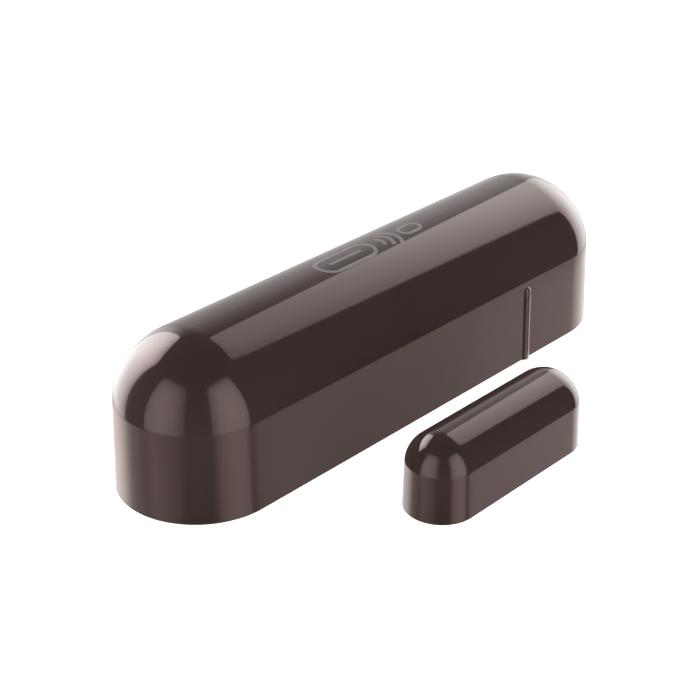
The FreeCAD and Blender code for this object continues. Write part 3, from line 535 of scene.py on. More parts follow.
def plunger_plastic():
    return material("plunger_plastic", (0.55, 0.53, 0.49), 0.33, scale=500.0, depth=0.006,
                    extra=worn(0.5, 700.0), Subsurface_Weight=0.15, Subsurface_Radius=(0.001, 0.001, 0.001))


def terminal_plastic():
    return material("terminal_plastic", settings().finish.terminals, 0.36, drift=0.12, scale=350.0, grain=0.8,
                    depth=0.008)


def terminal_brass():
    return brushed("terminal_brass", (0.66, 0.47, 0.20), 0.27)


def tin_plate():
    return brushed("tin_plate", (0.60, 0.61, 0.62), 0.30, (9, 1, 1), extra=worn(0.7, 300.0))


def solder():
    return material("solder", (0.64, 0.64, 0.66), 0.16, drift=0.12, rough_drift=0.2, scale=2500.0, grain=0.8,
                    depth=0.006, metallic=1.0)


def antenna_wire():
    return brushed("antenna_wire", (0.72, 0.42, 0.24), 0.22, (1, 1, 1))


def reed_glass():
    return material("reed_glass", (0.83, 0.93, 0.86), 0.03, drift=0.03, rough_drift=0.01, scale=900.0,
                    grain=0.2, depth=0.001, Transmission_Weight=1.0, IOR=1.52)


def reed_metal():
    return brushed("reed_metal", (0.58, 0.58, 0.56), 0.24)


def tantalum_resin():
    """Yellow moulded resin with the dark stripe that marks the positive end."""
    def stripe(nodes, sockets):
        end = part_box("tantalum_capacitor")[1].y - 0.8 * MM
        return {"Colour": nodes.mix(nodes.split(nodes.place())[1] > end, sockets["Colour"], (0.16, 0.06, 0.02, 1))}
    return material("tantalum_resin", (0.62, 0.36, 0.05), 0.42, scale=1500.0, grain=1.0, depth=0.01,
                    extra=stripe)


def ceramic():
    return material("ceramic", (0.40, 0.28, 0.17), 0.45, drift=0.15, scale=2500.0, grain=0.8, depth=0.006)


def resistor_black():
    return material("resistor_black", (0.018, 0.018, 0.02), 0.36, drift=0.2, scale=2500.0, grain=0.6,
                    depth=0.005)


def led_white():
    return material("led_white", (0.72, 0.72, 0.70), 0.35, drift=0.05, scale=2500.0, depth=0.004)


def led_lens():
    return material("led_lens", (0.90, 0.94, 0.88), 0.06, drift=0.03, rough_drift=0.02, scale=3000.0,
                    depth=0.001, Transmission_Weight=0.75, IOR=1.5)


def magnet_metal():
    """Nickel-plated magnet with a faint orange peel."""
    return material("magnet_metal", (0.60, 0.58, 0.55), 0.18, drift=0.08, rough_drift=0.12, scale=500.0,
                    grain_scale=3500.0, grain=1.0, depth=0.006, metallic=1.0, extra=worn(0.5, 300.0))


def floor_paper():
    """Pale paper that glows a little, and more to the camera, so that it stays plain white."""
    made = material("floor_paper", settings().studio.floor, 0.9, drift=0.01, rough_drift=0.02, scale=8.0,
                    grain_scale=900.0, depth=0.02, Emission_Color=(1, 1, 1, 1))
    nodes = Nodes(made.node_tree)
    seen = nodes.field("ShaderNodeLightPath", output="Is Camera Ray")
    surface = next(node for node in made.node_tree.nodes if node.type == "BSDF_PRINCIPLED")
    nodes.put(surface.inputs["Emission Strength"], seen * 0.7 + 0.3)
    return made


# ---------------------------------------------------------------- meshes
def add_piece(name, mesh, *materials):
    made = bpy.data.objects.new(name, mesh)
    bpy.context.scene.collection.objects.link(made)
    for item in materials:
        mesh.materials.append(item)
    return made


def closed_mesh(name, bm):
    """Merges doubles and turns the faces outwards."""
    bmesh.ops.remove_doubles(bm, verts=bm.verts, dist=MERGE)
    bmesh.ops.recalc_face_normals(bm, faces=bm.faces)
    mesh = bpy.data.meshes.new(name)
    bm.to_mesh(mesh)
    bm.free()
    return mesh


def from_bmesh(name, bm, *materials, sharp=None):
    """A smooth-shaded piece, split at sharp angles."""
    mesh = closed_mesh(name, bm)
    for polygon in mesh.polygons:
        polygon.use_smooth = True
    if sharp:
        mesh.set_sharp_from_angle(angle=radians(sharp))
    return add_piece(name, mesh, *materials)


def shape_only(name, bm):
    """A closed shape for a tree to copy. It isn't linked to the scene."""
    return bpy.data.objects.new(name, closed_mesh(name, bm))


def evaluated(piece):
    """Keeps what the modifiers make as the piece's own plain mesh."""
    done = bpy.data.meshes.new_from_object(piece.evaluated_get(bpy.context.evaluated_depsgraph_get()))
    piece.modifiers.clear()
    piece.data = done
    return done


def arc(radius, a0, a1, steps, centre=(0.0, 0.0)):
    """Points from angle a0 to a1 round centre, both ends among them."""
    angles = [a0 + (a1 - a0) * k / steps for k in range(steps + 1)]
    return [(centre[0] + radius * cos(a), centre[1] + radius * sin(a)) for a in angles]


def turned(bm, profile, place, steps):
    """Adds a closed turned shape: profile is (radius, height) from one pole or bore to the other."""
    rings = []
    for radius, height in profile:
        around = arc(radius, 0.0, 2 * pi, steps)[:-1] if radius > 1e-9 else [(0.0, 0.0)]
        rings.append([bm.verts.new(place @ Vector((x, y, height))) for x, y in around])
    for a, b in zip(rings, rings[1:] + ([] if len(rings[0]) == 1 else rings[:1])):
        for k in range(steps):
            n = (k + 1) % steps
            corners = list(dict.fromkeys([a[k % len(a)], a[n % len(a)], b[n % len(b)], b[k % len(b)]]))
            if len(corners) > 2:
                bm.faces.new(corners)


def upright(x=0.0, y=0.0, z=0.0):
    """Where a turned shape stands, its axis along Z."""
    return Matrix.Translation((x, y, z))


def lying(x, y, z):
    """The same with its axis along X."""
    return upright(x, y, z) @ Matrix.Rotation(pi / 2, 4, "Y")


def rounded_corner(profile, radius, steps=4):
    """Rounds every corner of a (radius, height) profile that has one given in radius, by index."""
    made = []
    for i, point in enumerate(profile):
        r = radius.get(i)
        if not r:
            made.append(point)
            continue
        here = Vector(point)
        to_last = (Vector(profile[i - 1]) - here).normalized()
        to_next = (Vector(profile[(i + 1) % len(profile)]) - here).normalized()
        half = to_last.angle(to_next) / 2
        reach = r / abs(sin(half) / cos(half))
        centre = here + (to_last + to_next).normalized() * (r / sin(half))
        start, end = here + to_last * reach - centre, here + to_next * reach - centre
        for k in range(steps + 1):
            made.append(tuple(start.lerp(end, k / steps).normalized() * r + centre))
    return made


def block(bm, x, y, z, slot=0, soften=0.0, segments=2):
    """Adds a box between the given (low, high) pairs, with its edges rounded."""
    low, high = (Vector(corner) for corner in zip(x, y, z))
    verts = bmesh.ops.create_cube(bm, size=1)["verts"]
    for vert in verts:
        vert.co = vert.co * (high - low) + (low + high) / 2
    faces = {face for vert in verts for face in vert.link_faces}
    if soften:
        edges = list({edge for vert in verts for edge in vert.link_edges})
        made = bmesh.ops.bevel(bm, geom=edges, offset=soften, segments=segments, affect="EDGES", profile=0.5)
        faces = {face for face in faces if face.is_valid} | set(made["faces"])
    for face in faces:
        face.material_index = slot


def centre_of(node):
    low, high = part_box(node)
    return (low + high) / 2


def finished(piece, body, slot, *nodes):
    """Rides a piece on its body and hides the CAD nodes that it stands for. Its slot, the finish's name, is not
    used.
    """
    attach(piece, body)
    # the magnet unit doesn't show as a dark patch in the sensor's long wall
    piece.visible_glossy = body not in (MAGNET_PLATE, MAGNET_SHELL)
    if nodes:
        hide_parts(*nodes)
    return piece


def lathed(name, profile, place, steps, item, body, slot, node, sharp=40):
    """A whole turned piece, finished."""
    bm = bmesh.new()
    turned(bm, profile, place, steps)
    finished(from_bmesh(name, bm, item, sharp=sharp), body, slot, node)


def softened(node, body, slot, item, width):
    """A copy of a CAD node with its loose triangles merged and its hard edges rounded."""
    bm = bmesh.new()
    bm.from_mesh(frame["nodes"][node].data)
    bmesh.ops.remove_doubles(bm, verts=bm.verts, dist=MERGE)
    bmesh.ops.dissolve_limit(bm, angle_limit=radians(0.6), verts=bm.verts, edges=bm.edges)
    mesh = bpy.data.meshes.new(node + "_soft")
    bm.to_mesh(mesh)
    bm.free()
    piece = add_piece(node + "_finished", mesh)
    mesh.materials.clear()
    mesh.materials.append(item)
    for polygon in mesh.polygons:
        polygon.use_smooth = True
        polygon.material_index = 0
    if width:
        bevel = piece.modifiers.new("soft edges", "BEVEL")
        bevel.width, bevel.segments, bevel.limit_method = width, 2, "ANGLE"
        bevel.angle_limit, bevel.use_clamp_overlap, bevel.harden_normals = radians(35), True, False
        evaluated(piece)
    piece.data.set_sharp_from_angle(angle=radians(30))
    finished(piece, body, slot, node)


def grown(name, tree, **values):
    """Runs a Geometry Nodes tree with its named inputs set, and keeps the result as a plain mesh."""
    piece = add_piece(name, bpy.data.meshes.new(name))
    steps = piece.modifiers.new(tree.name, "NODES")
    steps.node_group = tree
    sockets = {item.name: item.identifier for item in tree.interface.items_tree
               if item.item_type == "SOCKET" and item.in_out == "INPUT"}
    for label, value in values.items():
        steps[sockets[label.replace("_", " ")]] = value
    done = evaluated(piece)
    if not done.polygons:
        raise RuntimeError(f"{name}: the tree {tree.name} made no faces")
    bm = bmesh.new()
    bm.from_mesh(done)
    bmesh.ops.recalc_face_normals(bm, faces=bm.faces)
    bm.to_mesh(done)
    bm.free()
    return piece


def points_object(name, points, joined=False):
    """Points for a tree to read, as a chain of edges if joined. The object isn't linked to the scene."""
    mesh = bpy.data.meshes.new(name)
    edges = [(i, i + 1) for i in range(len(points) - 1)] if joined else []
    mesh.from_pydata([(*point, 0.0)[:3] for point in points], edges, [])
    return bpy.data.objects.new(name, mesh)


# ---------------------------------------------------------------- shells
def end_tree(nodes, out, geometry, item):
    """The last steps of every tree: real geometry, smooth, in one material."""
    for kind, more in (("RealizeInstances", {}), ("SetShadeSmooth", {}), ("SetMaterial", {"Material": item})):
        geometry = nodes.field("GeometryNode" + kind, {"Geometry": geometry, **more})
    nodes.put(out["Geometry"], geometry)
    return nodes.tree


def capture(nodes, geometry, field, label):
    made = nodes.add("GeometryNodeCaptureAttribute", {"Geometry": geometry})
    made.capture_items.new("VECTOR", label)
    nodes.put(made.inputs[label], field)
    found = nodes.named(made.outputs)
    return found["Geometry"], found[label]


@shared
def capsule_sweep(name):
    """Sweeps a section, drawn as half-width and height, round a capsule's plan."""
    nodes, given, out = new_group(name, "GeometryNodeTree", [
        ("Section", "Object", None),
        ("Straight Half", "Float", 0.03),
        ("End Steps", "Int", 64),
        ("Side Steps", "Int", 24),
        ("Centre", "Vector", (0, 0, 0)),
        ("Material", "Material", None),
    ], [("Geometry", "Geometry")])
    end_steps = given["End Steps"]
    steps = end_steps + given["Side Steps"]
    ring = nodes.field("GeometryNodeCurvePrimitiveCircle", {"Resolution": steps * 2.0, "Radius": 1.0})
    index = nodes.field("GeometryNodeInputIndex")
    place = nodes.math("MODULO", index, steps)
    far_side = nodes.math("FLOOR", (index + 0.5) / steps)
    turn = (nodes.least(place / end_steps, 1.0) - 0.5 + far_side) * pi
    done = nodes.most(place - end_steps, 0.0) / given["Side Steps"]
    along = (1.0 - far_side * 2.0) * given["Straight Half"] * (1.0 - done * 2.0)
    ring, middle = capture(nodes, ring, nodes.combine(along), "middle")
    ring, outward = capture(nodes, ring, nodes.combine(nodes.math("COSINE", turn), nodes.math("SINE", turn)),
                            "out")
    drawn = nodes.field("GeometryNodeObjectInfo", {"Object": given["Section"]}, "Geometry")
    section = nodes.field("GeometryNodeMeshToCurve", {"Mesh": drawn})
    section, point = capture(nodes, section, nodes.field("GeometryNodeInputPosition"), "point")
    swept = nodes.field("GeometryNodeCurveToMesh", {"Curve": ring, "Profile Curve": section})
    half_width, height, _ = nodes.split(point)
    position = nodes.vector("ADD", nodes.vector("ADD", middle, nodes.scaled(outward, half_width)),
                            nodes.vector("ADD", nodes.combine(z=height), given["Centre"]))
    placed = nodes.field("GeometryNodeSetPosition", {"Geometry": swept, "Position": position})
    merged = nodes.field("GeometryNodeMergeByDistance", {"Geometry": placed, "Distance": 1e-6})
    return end_tree(nodes, out, merged, given["Material"])


def half_at(unit, z, inset=0.0):
    """Half-width of a shell's drafted wall at height z, taken in by inset."""
    return unit.width / 2 - inset - unit.draft * z / unit.spring


def arch_radius(unit, inset=0.0):
    """Radius of the arch through the crown and both springs."""
    half = half_at(unit, unit.spring, inset)
    rise = unit.height - inset - unit.spring
    return (rise * rise + half * half) / (2 * rise)


def arch_line(unit, inset, steps):
    """The section's line from the crown down to the foot, as (half-width, height): arch, rounding, wall."""
    crown = unit.height - inset
    half = half_at(unit, unit.spring, inset)
    arch_r = arch_radius(unit, inset)
    centre_z = crown - arch_r
    soft = max(unit.rounding - inset, unit.rounding / 4)
    lean = hypot(unit.draft, unit.spring)
    up = (-unit.draft / lean, unit.spring / lean)
    inward = (-up[1], up[0])
    base = (half + soft * inward[0], unit.spring + soft * inward[1] - centre_z)
    b = base[0] * up[0] + base[1] * up[1]
    c = base[0] ** 2 + base[1] ** 2 - (arch_r - soft) ** 2
    slide = min((-b - sqrt(b * b - c), -b + sqrt(b * b - c)), key=abs)
    middle = (base[0] + slide * up[0], base[1] + slide * up[1] + centre_z)
    join = atan2(middle[1] - centre_z, middle[0])
    arch = arc(arch_r, pi / 2, join, steps, (0.0, centre_z))
    corner = arc(soft, join, atan2(-inward[1], -inward[0]), max(steps // 3, 4), middle)
    return [(0.0, crown)] + arch[1:] + corner[1:]


def shell_section(unit):
    """Outer line down to the rim, round its two edges, and the inner line back up to the crown."""
    outer = arch_line(unit, 0.0, 44)
    inner = arch_line(unit, unit.wall, 30)
    low_out = (half_at(unit, FOOT_GAP), FOOT_GAP)
    low_in = (half_at(unit, FOOT_GAP, unit.wall), FOOT_GAP)
    spring, foot = Vector(outer[-1]), Vector(low_out)
    wall = [tuple(spring.lerp(foot, k / 6)) for k in range(1, 6)]
    # a close row just above the rounding keeps the wall's shading flat down to the foot
    wall.append(tuple(foot.lerp(spring, (RIM_ROUND + 0.03 * MM) / (spring.y - FOOT_GAP))))
    rim = rounded_corner([wall[-1], low_out, low_in, inner[-1]], {1: RIM_ROUND, 2: RIM_ROUND / 2}, 3)
    return outer + wall + rim[1:-1] + inner[::-1]


class SENSOR_OT_shells(bpy.types.Operator):
    """Sweep both glossy shells, inside and out, from their drafted and arched sections"""
    bl_idname = "contact_sensor.shells"
    bl_label = "Shells"

    def execute(self, context):
        own = settings()
        beside = (*centre_of("magnet_cover").xy, 0.0)
        for name, unit, centre, body, node in (
                ("sensor_shell_moulding", own.sensor, (0.0, 0.0, 0.0), SHELL, "sensor_cover"),
                ("magnet_shell_moulding", own.magnet, beside, MAGNET_SHELL, "magnet_cover")):
            section = points_object(name + "_section", shell_section(unit), joined=True)
            piece = grown(name, capsule_sweep(), Section=section, Straight_Half=(unit.length - unit.width) / 2,
                          Centre=centre, Material=shell_gloss())
            finished(piece, body, "shell_gloss", node)
        return {"FINISHED"}


class SENSOR_OT_rib(bpy.types.Operator):
    """Raise the alignment rib on the wall that faces the magnet"""
    bl_idname = "contact_sensor.rib"
    bl_label = "Alignment rib"

    def execute(self, context):
        own, size = settings().sensor, settings().detail
        radius = (size.rib_width ** 2 / 4 + size.rib_proud ** 2) / (2 * size.rib_proud)
        depth = radius - size.rib_proud
        x = own.length / 2 - size.rib_from_end
        top = size.rib_top - size.rib_width / 2
        low = Vector((x, -half_at(own, FOOT_GAP) + depth, FOOT_GAP))
        high = Vector((x, -half_at(own, top) + depth, top))
        length = (high - low).length
        foot_bevel = 0.03 * MM
        profile = [(0.0, 0.0), (radius - foot_bevel, 0.0), (radius, foot_bevel)]
        profile += [(radius, length * k / 6) for k in range(1, 6)]
        profile += arc(radius, 0.0, 11 * pi / 24, 11, (0.0, length)) + [(0.0, length + radius)]
        bm = bmesh.new()
        stand = (high - low).to_track_quat("Z", "Y").to_matrix().to_4x4()
        turned(bm, profile, Matrix.Translation(low) @ stand, 72)
        finished(from_bmesh("alignment_rib", bm, shell_gloss()), SHELL, "shell_gloss", "sensor_cover")
        return {"FINISHED"}


# ---------------------------------------------------------------- printed mark
INK = 0.012 * MM    # how far the print stands above the gloss, and how far it is let in


def stadium_line(x0, x1, half):
    """A closed line round a lying capsule."""
    return (arc(half, -pi / 2, pi / 2, 14, (x1 - half, 0.0))
            + arc(half, pi / 2, 3 * pi / 2, 14, (x0 + half, 0.0)))


def add_stroke(bm, line, width, closed, lift):
    """A flat stroke along line, laid on the crown's curve. lift(y) gives the surface's height."""
    rows = []
    count = len(line)
    for i, (x, y) in enumerate(line):
        last = line[i - 1] if closed or i else line[i]
        following = line[(i + 1) % count] if closed or i < count - 1 else line[i]
        along = Vector((following[0] - last[0], following[1] - last[1])).normalized()
        side = Vector((-along.y, along.x)) * (width / 2)
        row = []
        for s, up in ((1, INK), (-1, INK), (-1, -INK), (1, -INK)):
            px, py = x + s * side.x, y + s * side.y
            row.append(bm.verts.new((px, py, lift(py) + up)))
        rows.append(row)
    for a, b in zip(rows, rows[1:] + (rows[:1] if closed else [])):
        for k in range(4):
            bm.faces.new((a[k], a[(k + 1) % 4], b[(k + 1) % 4], b[k]))
    if not closed:
        bm.faces.new(rows[0])
        bm.faces.new(rows[-1][::-1])


class SENSOR_OT_mark(bpy.types.Operator):
    """Print a plain pictogram of the sensor, its field and its magnet on the crown"""
    bl_idname = "contact_sensor.mark"
    bl_label = "Printed mark"

    def execute(self, context):
        own, stroke = settings().sensor, settings().detail.mark_stroke
        arch_r = arch_radius(own)
        spread, flat = radians(38), 0.8    # half the angle of a field line, and its height to its width

        def lift(y):
            return own.height - arch_r + sqrt(arch_r * arch_r - y * y)

        bm = bmesh.new()
        for x0, x1, half in ((-8.8, 0.1, 1.7), (5.4, 8.6, 0.95)):
            add_stroke(bm, stadium_line(x0 * MM, x1 * MM, half * MM), stroke, True, lift)
        for reach in (1.95, 3.15, 4.35):
            curve = [(x, y * flat) for x, y in arc(reach * MM, -spread, spread, 16)]
            add_stroke(bm, curve, stroke, False, lift)
        add_stroke(bm, [((-7.0 + 0.76 * k) * MM, 0.0) for k in range(8)], stroke, False, lift)
        finished(from_bmesh("printed_mark", bm, mark_ink(), sharp=30), SHELL, "shell_gloss", "sensor_cover")
        return {"FINISHED"}


# ---------------------------------------------------------------- coils
@shared
def wound_wire(name):
    """A wire wound along +Z from the origin, with closed end turns, then turned and placed."""
    nodes, given, out = new_group(name, "GeometryNodeTree", [
        ("Radius", "Float", 0.002),
        ("Tip Radius", "Float", 0.002),
        ("Wire Radius", "Float", 0.0002),
        ("Height", "Float", 0.002),
        ("Turns", "Float", 3.0),
        ("Closed Share", "Float", 0.12),
        ("Points", "Int", 220),
        ("Leg", "Float", 0.0),
        ("Leg Points", "Int", 0),
        ("Sides", "Int", 12),
        ("Turn", "Rotation", None),
        ("Place", "Vector", (0, 0, 0)),
        ("Material", "Material", None),
    ], [("Geometry", "Geometry")])
    line = nodes.field("GeometryNodeCurvePrimitiveLine", {"Start": (0, 0, 0), "End": (0, 0, 1)})
    line = nodes.field("GeometryNodeResampleCurve",
                       {"Curve": line, "Count": given["Points"] + given["Leg Points"]})
    index = nodes.field("GeometryNodeInputIndex")
    last = given["Points"] - 1.0
    share = nodes.least(index, last) / last
    # after its last whole turn the wire can run on straight, as a leg
    past = nodes.most(index - last, 0.0) / nodes.most(given["Leg Points"], 1.0)
    angle = share * given["Turns"] * (2 * pi)
    radius = given["Radius"] + share * (given["Tip Radius"] - given["Radius"])
    closed = given["Closed Share"]
    rise = nodes.ramp(share, closed, 1.0 - closed, smooth=False)
    position = nodes.combine(radius * nodes.math("COSINE", angle),
                             radius * nodes.math("SINE", angle) + past * given["Leg"], rise * given["Height"])
    wound = nodes.field("GeometryNodeSetPosition", {"Geometry": line, "Position": position})
    ring = nodes.field("GeometryNodeCurvePrimitiveCircle",
                       {"Resolution": given["Sides"], "Radius": given["Wire Radius"]})
    wire = nodes.field("GeometryNodeCurveToMesh", {"Curve": wound, "Profile Curve": ring, "Fill Caps": True})
    placed = nodes.field("GeometryNodeTransform", {"Geometry": wire, "Translation": given["Place"],
                                                   "Rotation": given["Turn"]})
    return end_tree(nodes, out, placed, given["Material"])


class SENSOR_OT_coils(bpy.types.Operator):
    """Wind the cell's contact spring, the tamper spring and the antenna"""
    bl_idname = "contact_sensor.coils"
    bl_label = "Springs and antenna"

    def execute(self, context):
        along_x = (0.0, pi / 2, 0.0)
        low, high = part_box("negative_contact_spring")
        wire = 0.25 * MM
        piece = grown("cell_contact_spring", wound_wire(), Radius=2.75 * MM, Tip_Radius=1.9 * MM,
                      Wire_Radius=wire, Height=high.x - low.x - 2 * wire, Turns=3.4, Closed_Share=0.13,
                      Turn=along_x, Place=(low.x + wire, 0.0, (low.z + high.z) / 2), Material=contact_nickel())
        finished(piece, PLATE, "contact_nickel", "negative_contact_spring")
        low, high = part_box("tamper_spring")
        middle = centre_of("tamper_spring")
        wire = 0.15 * MM
        piece = grown("tamper_coil", wound_wire(), Radius=1.5 * MM, Tip_Radius=1.5 * MM, Wire_Radius=wire,
                      Height=high.z - low.z - 2 * wire, Turns=4.0, Closed_Share=0.16,
                      Place=(middle.x, middle.y, low.z + wire), Material=contact_nickel())
        finished(piece, PLATE, "contact_nickel", "tamper_spring")
        low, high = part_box("antenna_coil")
        wire = 0.35 * MM
        radius = 2.2 * MM
        axis_z = high.z - radius - wire
        turn = Matrix(((0, 0, 1), (-1, 0, 0), (0, -1, 0))).to_euler()    # winds along +X and ends heading down
        piece = grown("antenna_winding", wound_wire(), Radius=radius, Tip_Radius=radius, Wire_Radius=wire,
                      Height=high.x - low.x - 2 * wire, Turns=8.0, Closed_Share=0.0, Points=400, Sides=16,
                      Leg=axis_z - low.z, Leg_Points=12, Turn=tuple(turn),
                      Place=(low.x + wire, high.y - radius - wire, axis_z), Material=antenna_wire())
        finished(piece, PLATE, "antenna_wire", "antenna_coil")
        return {"FINISHED"}


# ---------------------------------------------------------------- screws and pins
@shared
def copies_at_spots(name):
    """Puts a copy of one shape at each spot."""
    nodes, given, out = new_group(name, "GeometryNodeTree", [
        ("Shape", "Object", None),
        ("Spots", "Object", None),
        ("Turn Step", "Float", 0.0),
        ("Material", "Material", None),
    ], [("Geometry", "Geometry")])
    shape, where = (nodes.field("GeometryNodeObjectInfo", {"Object": given[label]}, "Geometry")
                    for label in ("Shape", "Spots"))
    turn = nodes.combine(z=nodes.field("GeometryNodeInputIndex") * given["Turn Step"])
    turn = nodes.field("FunctionNodeEulerToRotation", {0: turn})
    placed = nodes.field("GeometryNodeInstanceOnPoints", {"Points": where, "Instance": shape, "Rotation": turn})
    return end_tree(nodes, out, placed, given["Material"])


def copied(name, shape, places, item, slot, *nodes, turn_step=0.0, sharp=38):
    """One piece on the back plate, made of copies of a shape at the given places."""
    piece = grown(name, copies_at_spots(), Shape=shape, Spots=points_object(name + "_spots", places),
                  Turn_Step=turn_step, Material=item)
    if sharp:
        piece.data.set_sharp_from_angle(angle=radians(sharp))
    finished(piece, PLATE, slot, *nodes)


def cut_slots(target, cutters):
    """Cuts boxes out of a shape, as (x, y, z) low and high pairs with a turn about Z."""
    bm = bmesh.new()
    for x, y, z, turn in cutters:
        part = bmesh.new()
        block(part, x, y, z)
        part.transform(Matrix.Rotation(turn, 4, "Z"))
        spare = bpy.data.meshes.new("cutter part")
        part.to_mesh(spare)
        part.free()
        bm.from_mesh(spare)
    cutter = shape_only("cutter", bm)
    linked = bpy.context.scene.collection.objects
    linked.link(target)
    linked.link(cutter)
    cut = target.modifiers.new("recess", "BOOLEAN")
    cut.operation, cut.object, cut.solver, cut.use_self = "DIFFERENCE", cutter, "EXACT", True
    evaluated(target)
    bpy.data.objects.remove(cutter)
    linked.unlink(target)
    return target


def turned_shape(name, profile, steps, slots=()):
    """A turned shape for a tree to copy, with any slots cut in it."""
    bm = bmesh.new()
    turned(bm, profile, upright(), steps)
    shape = shape_only(name, bm)
    return cut_slots(shape, slots) if slots else shape


def pan_head_screw(head_r, head, dome, shank_r, length, pitch):
    """Profile of a pan head on a threaded shank, hanging down from z = 0, which is under the head."""
    core = shank_r * 0.8
    profile = [(0.0, -length), (shank_r * 0.45, -length)]
    z = -length + shank_r * 0.4
    while z < -pitch:
        profile += [(core, z), (shank_r, z + pitch * 0.35), (shank_r, z + pitch * 0.5), (core, z + pitch * 0.85)]
        z += pitch
    profile += [(core, 0.0), (head_r - 0.05 * MM, 0.0), (head_r, 0.05 * MM)]
    profile += arc(dome, 0.0, pi / 2, 6, (head_r - dome, head - dome))
    return profile + [(0.0, head)]


class SENSOR_OT_fasteners(bpy.types.Operator):
    """Place the board's pan-head screws, the terminals' slotted screws and the switch's pins"""
    bl_idname = "contact_sensor.fasteners"
    bl_label = "Screws and pins"

    def execute(self, context):
        low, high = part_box("board_screws")
        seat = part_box("main_board")[1].z
        head, head_r, slot_depth = high.z - seat, 1.5 * MM, 0.4 * MM
        cross = [((-0.9 * MM, 0.9 * MM), (-0.19 * MM, 0.19 * MM), (head - slot_depth, head + MM), turn)
                 for turn in (0.0, pi / 2)]
        profile = pan_head_screw(head_r, head, 0.32 * MM, 0.8 * MM, seat - low.z, 0.4 * MM)
        places = [(low.x + head_r, high.y - head_r, seat), (high.x - head_r, low.y + head_r, seat)]
        copied("board_screw_set", turned_shape("board screw", profile, 40, cross), places, screw_steel(),
               "screw_steel", "board_screws", turn_step=0.6)
        low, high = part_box("terminal_screws")
        middle = centre_of("terminal_screws")
        tall, radius = high.z - low.z, 1.0 * MM
        slot = [((-0.15 * MM, 0.15 * MM), (-2 * MM, 2 * MM), (-slot_depth, MM), 0.0)]
        profile = [(0.0, -tall), (0.92 * MM, -tall), (radius, -tall + 0.1 * MM), (radius, -0.1 * MM),
                   (0.9 * MM, 0.0), (0.0, 0.0)]
        pitch = (high.y - low.y) / 2 - radius
        places = [(middle.x, middle.y + k * pitch, high.z) for k in (-1, 0, 1)]
        copied("terminal_screw_set", turned_shape("terminal screw", profile, 36, slot), places, screw_steel(),
               "screw_steel", "terminal_screws", turn_step=0.35)
        low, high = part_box("tamper_switch_pins")
        half_thick, half_wide = 0.1 * MM, 0.35 * MM
        bm = bmesh.new()
        block(bm, (-half_thick, half_thick), (-half_wide, half_wide), (0.0, high.z - low.z), soften=0.03 * MM)
        places = [(x, y, low.z) for x in (low.x + half_thick, high.x - half_thick)
                  for y in (low.y + half_wide, high.y - half_wide)]
        copied("switch_pin_set", shape_only("pin", bm), places, tin_plate(), "tin_plate", "tamper_switch_pins")
        return {"FINISHED"}


# ---------------------------------------------------------------- cell
class SENSOR_OT_cell(bpy.types.Operator):
    """Turn the cell's can, lid and sleeve"""
    bl_idname = "contact_sensor.cell"
    bl_label = "Cell"

    def execute(self, context):
        low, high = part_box("cell_wrap")
        radius = (high.z - low.z) / 2
        place = lying(low.x, 0.0, (low.z + high.z) / 2)
        length = high.x - low.x
        film, lap, wall = 0.15 * MM, 1.4 * MM, 0.3 * MM
        inner = radius - film
        mouth = length - film
        sleeve = rounded_corner([
            (radius - lap, 0.0), (radius, 0.0), (radius, length), (radius - lap, length), (radius - lap, mouth),
            (inner, mouth), (inner, film), (radius - lap, film)],
            {0: 0.05 * MM, 1: 0.65 * MM, 2: 0.45 * MM, 3: 0.05 * MM, 5: 0.28 * MM, 6: 0.5 * MM}, 5)
        lathed("cell_sleeve_film", sleeve, place, 96, cell_sleeve(), CELL, "cell_sleeve", "cell_wrap")
        can = rounded_corner([
            (0.0, film), (inner, film), (inner, mouth), (inner - wall, mouth), (inner - wall, film + wall),
            (0.0, film + wall)], {1: 0.5 * MM, 2: 0.12 * MM, 3: 0.08 * MM, 4: 0.2 * MM}, 5)
        groove = film + 0.05 * MM    # a shallow ring pressed into the can's end
        can[1:1] = [(1.9 * MM, film), (2.0 * MM, groove), (3.2 * MM, groove), (3.3 * MM, film)]
        lathed("cell_can_drawn", can, place, 96, cell_steel(), CELL, "cell_steel", "cell_can")
        lid_low, lid_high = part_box("cell_lid")
        start, top = lid_low.x - low.x, lid_high.x - low.x
        edge = (lid_high.z - lid_low.z) / 2
        sunk, pip = mouth - 0.25 * MM, 2.6 * MM
        lid = rounded_corner([
            (0.0, start), (edge, start), (edge, mouth), (edge - 0.7 * MM, mouth), (edge - 0.95 * MM, sunk),
            (3.1 * MM, sunk), (pip, mouth), (pip, top), (0.0, top)],
            {2: 0.1 * MM, 3: 0.08 * MM, 4: 0.08 * MM, 5: 0.1 * MM, 6: 0.08 * MM, 7: 0.3 * MM}, 4)
        lathed("cell_lid_and_pip", lid, place, 96, cell_steel(), CELL, "cell_steel", "cell_lid")
        return {"FINISHED"}


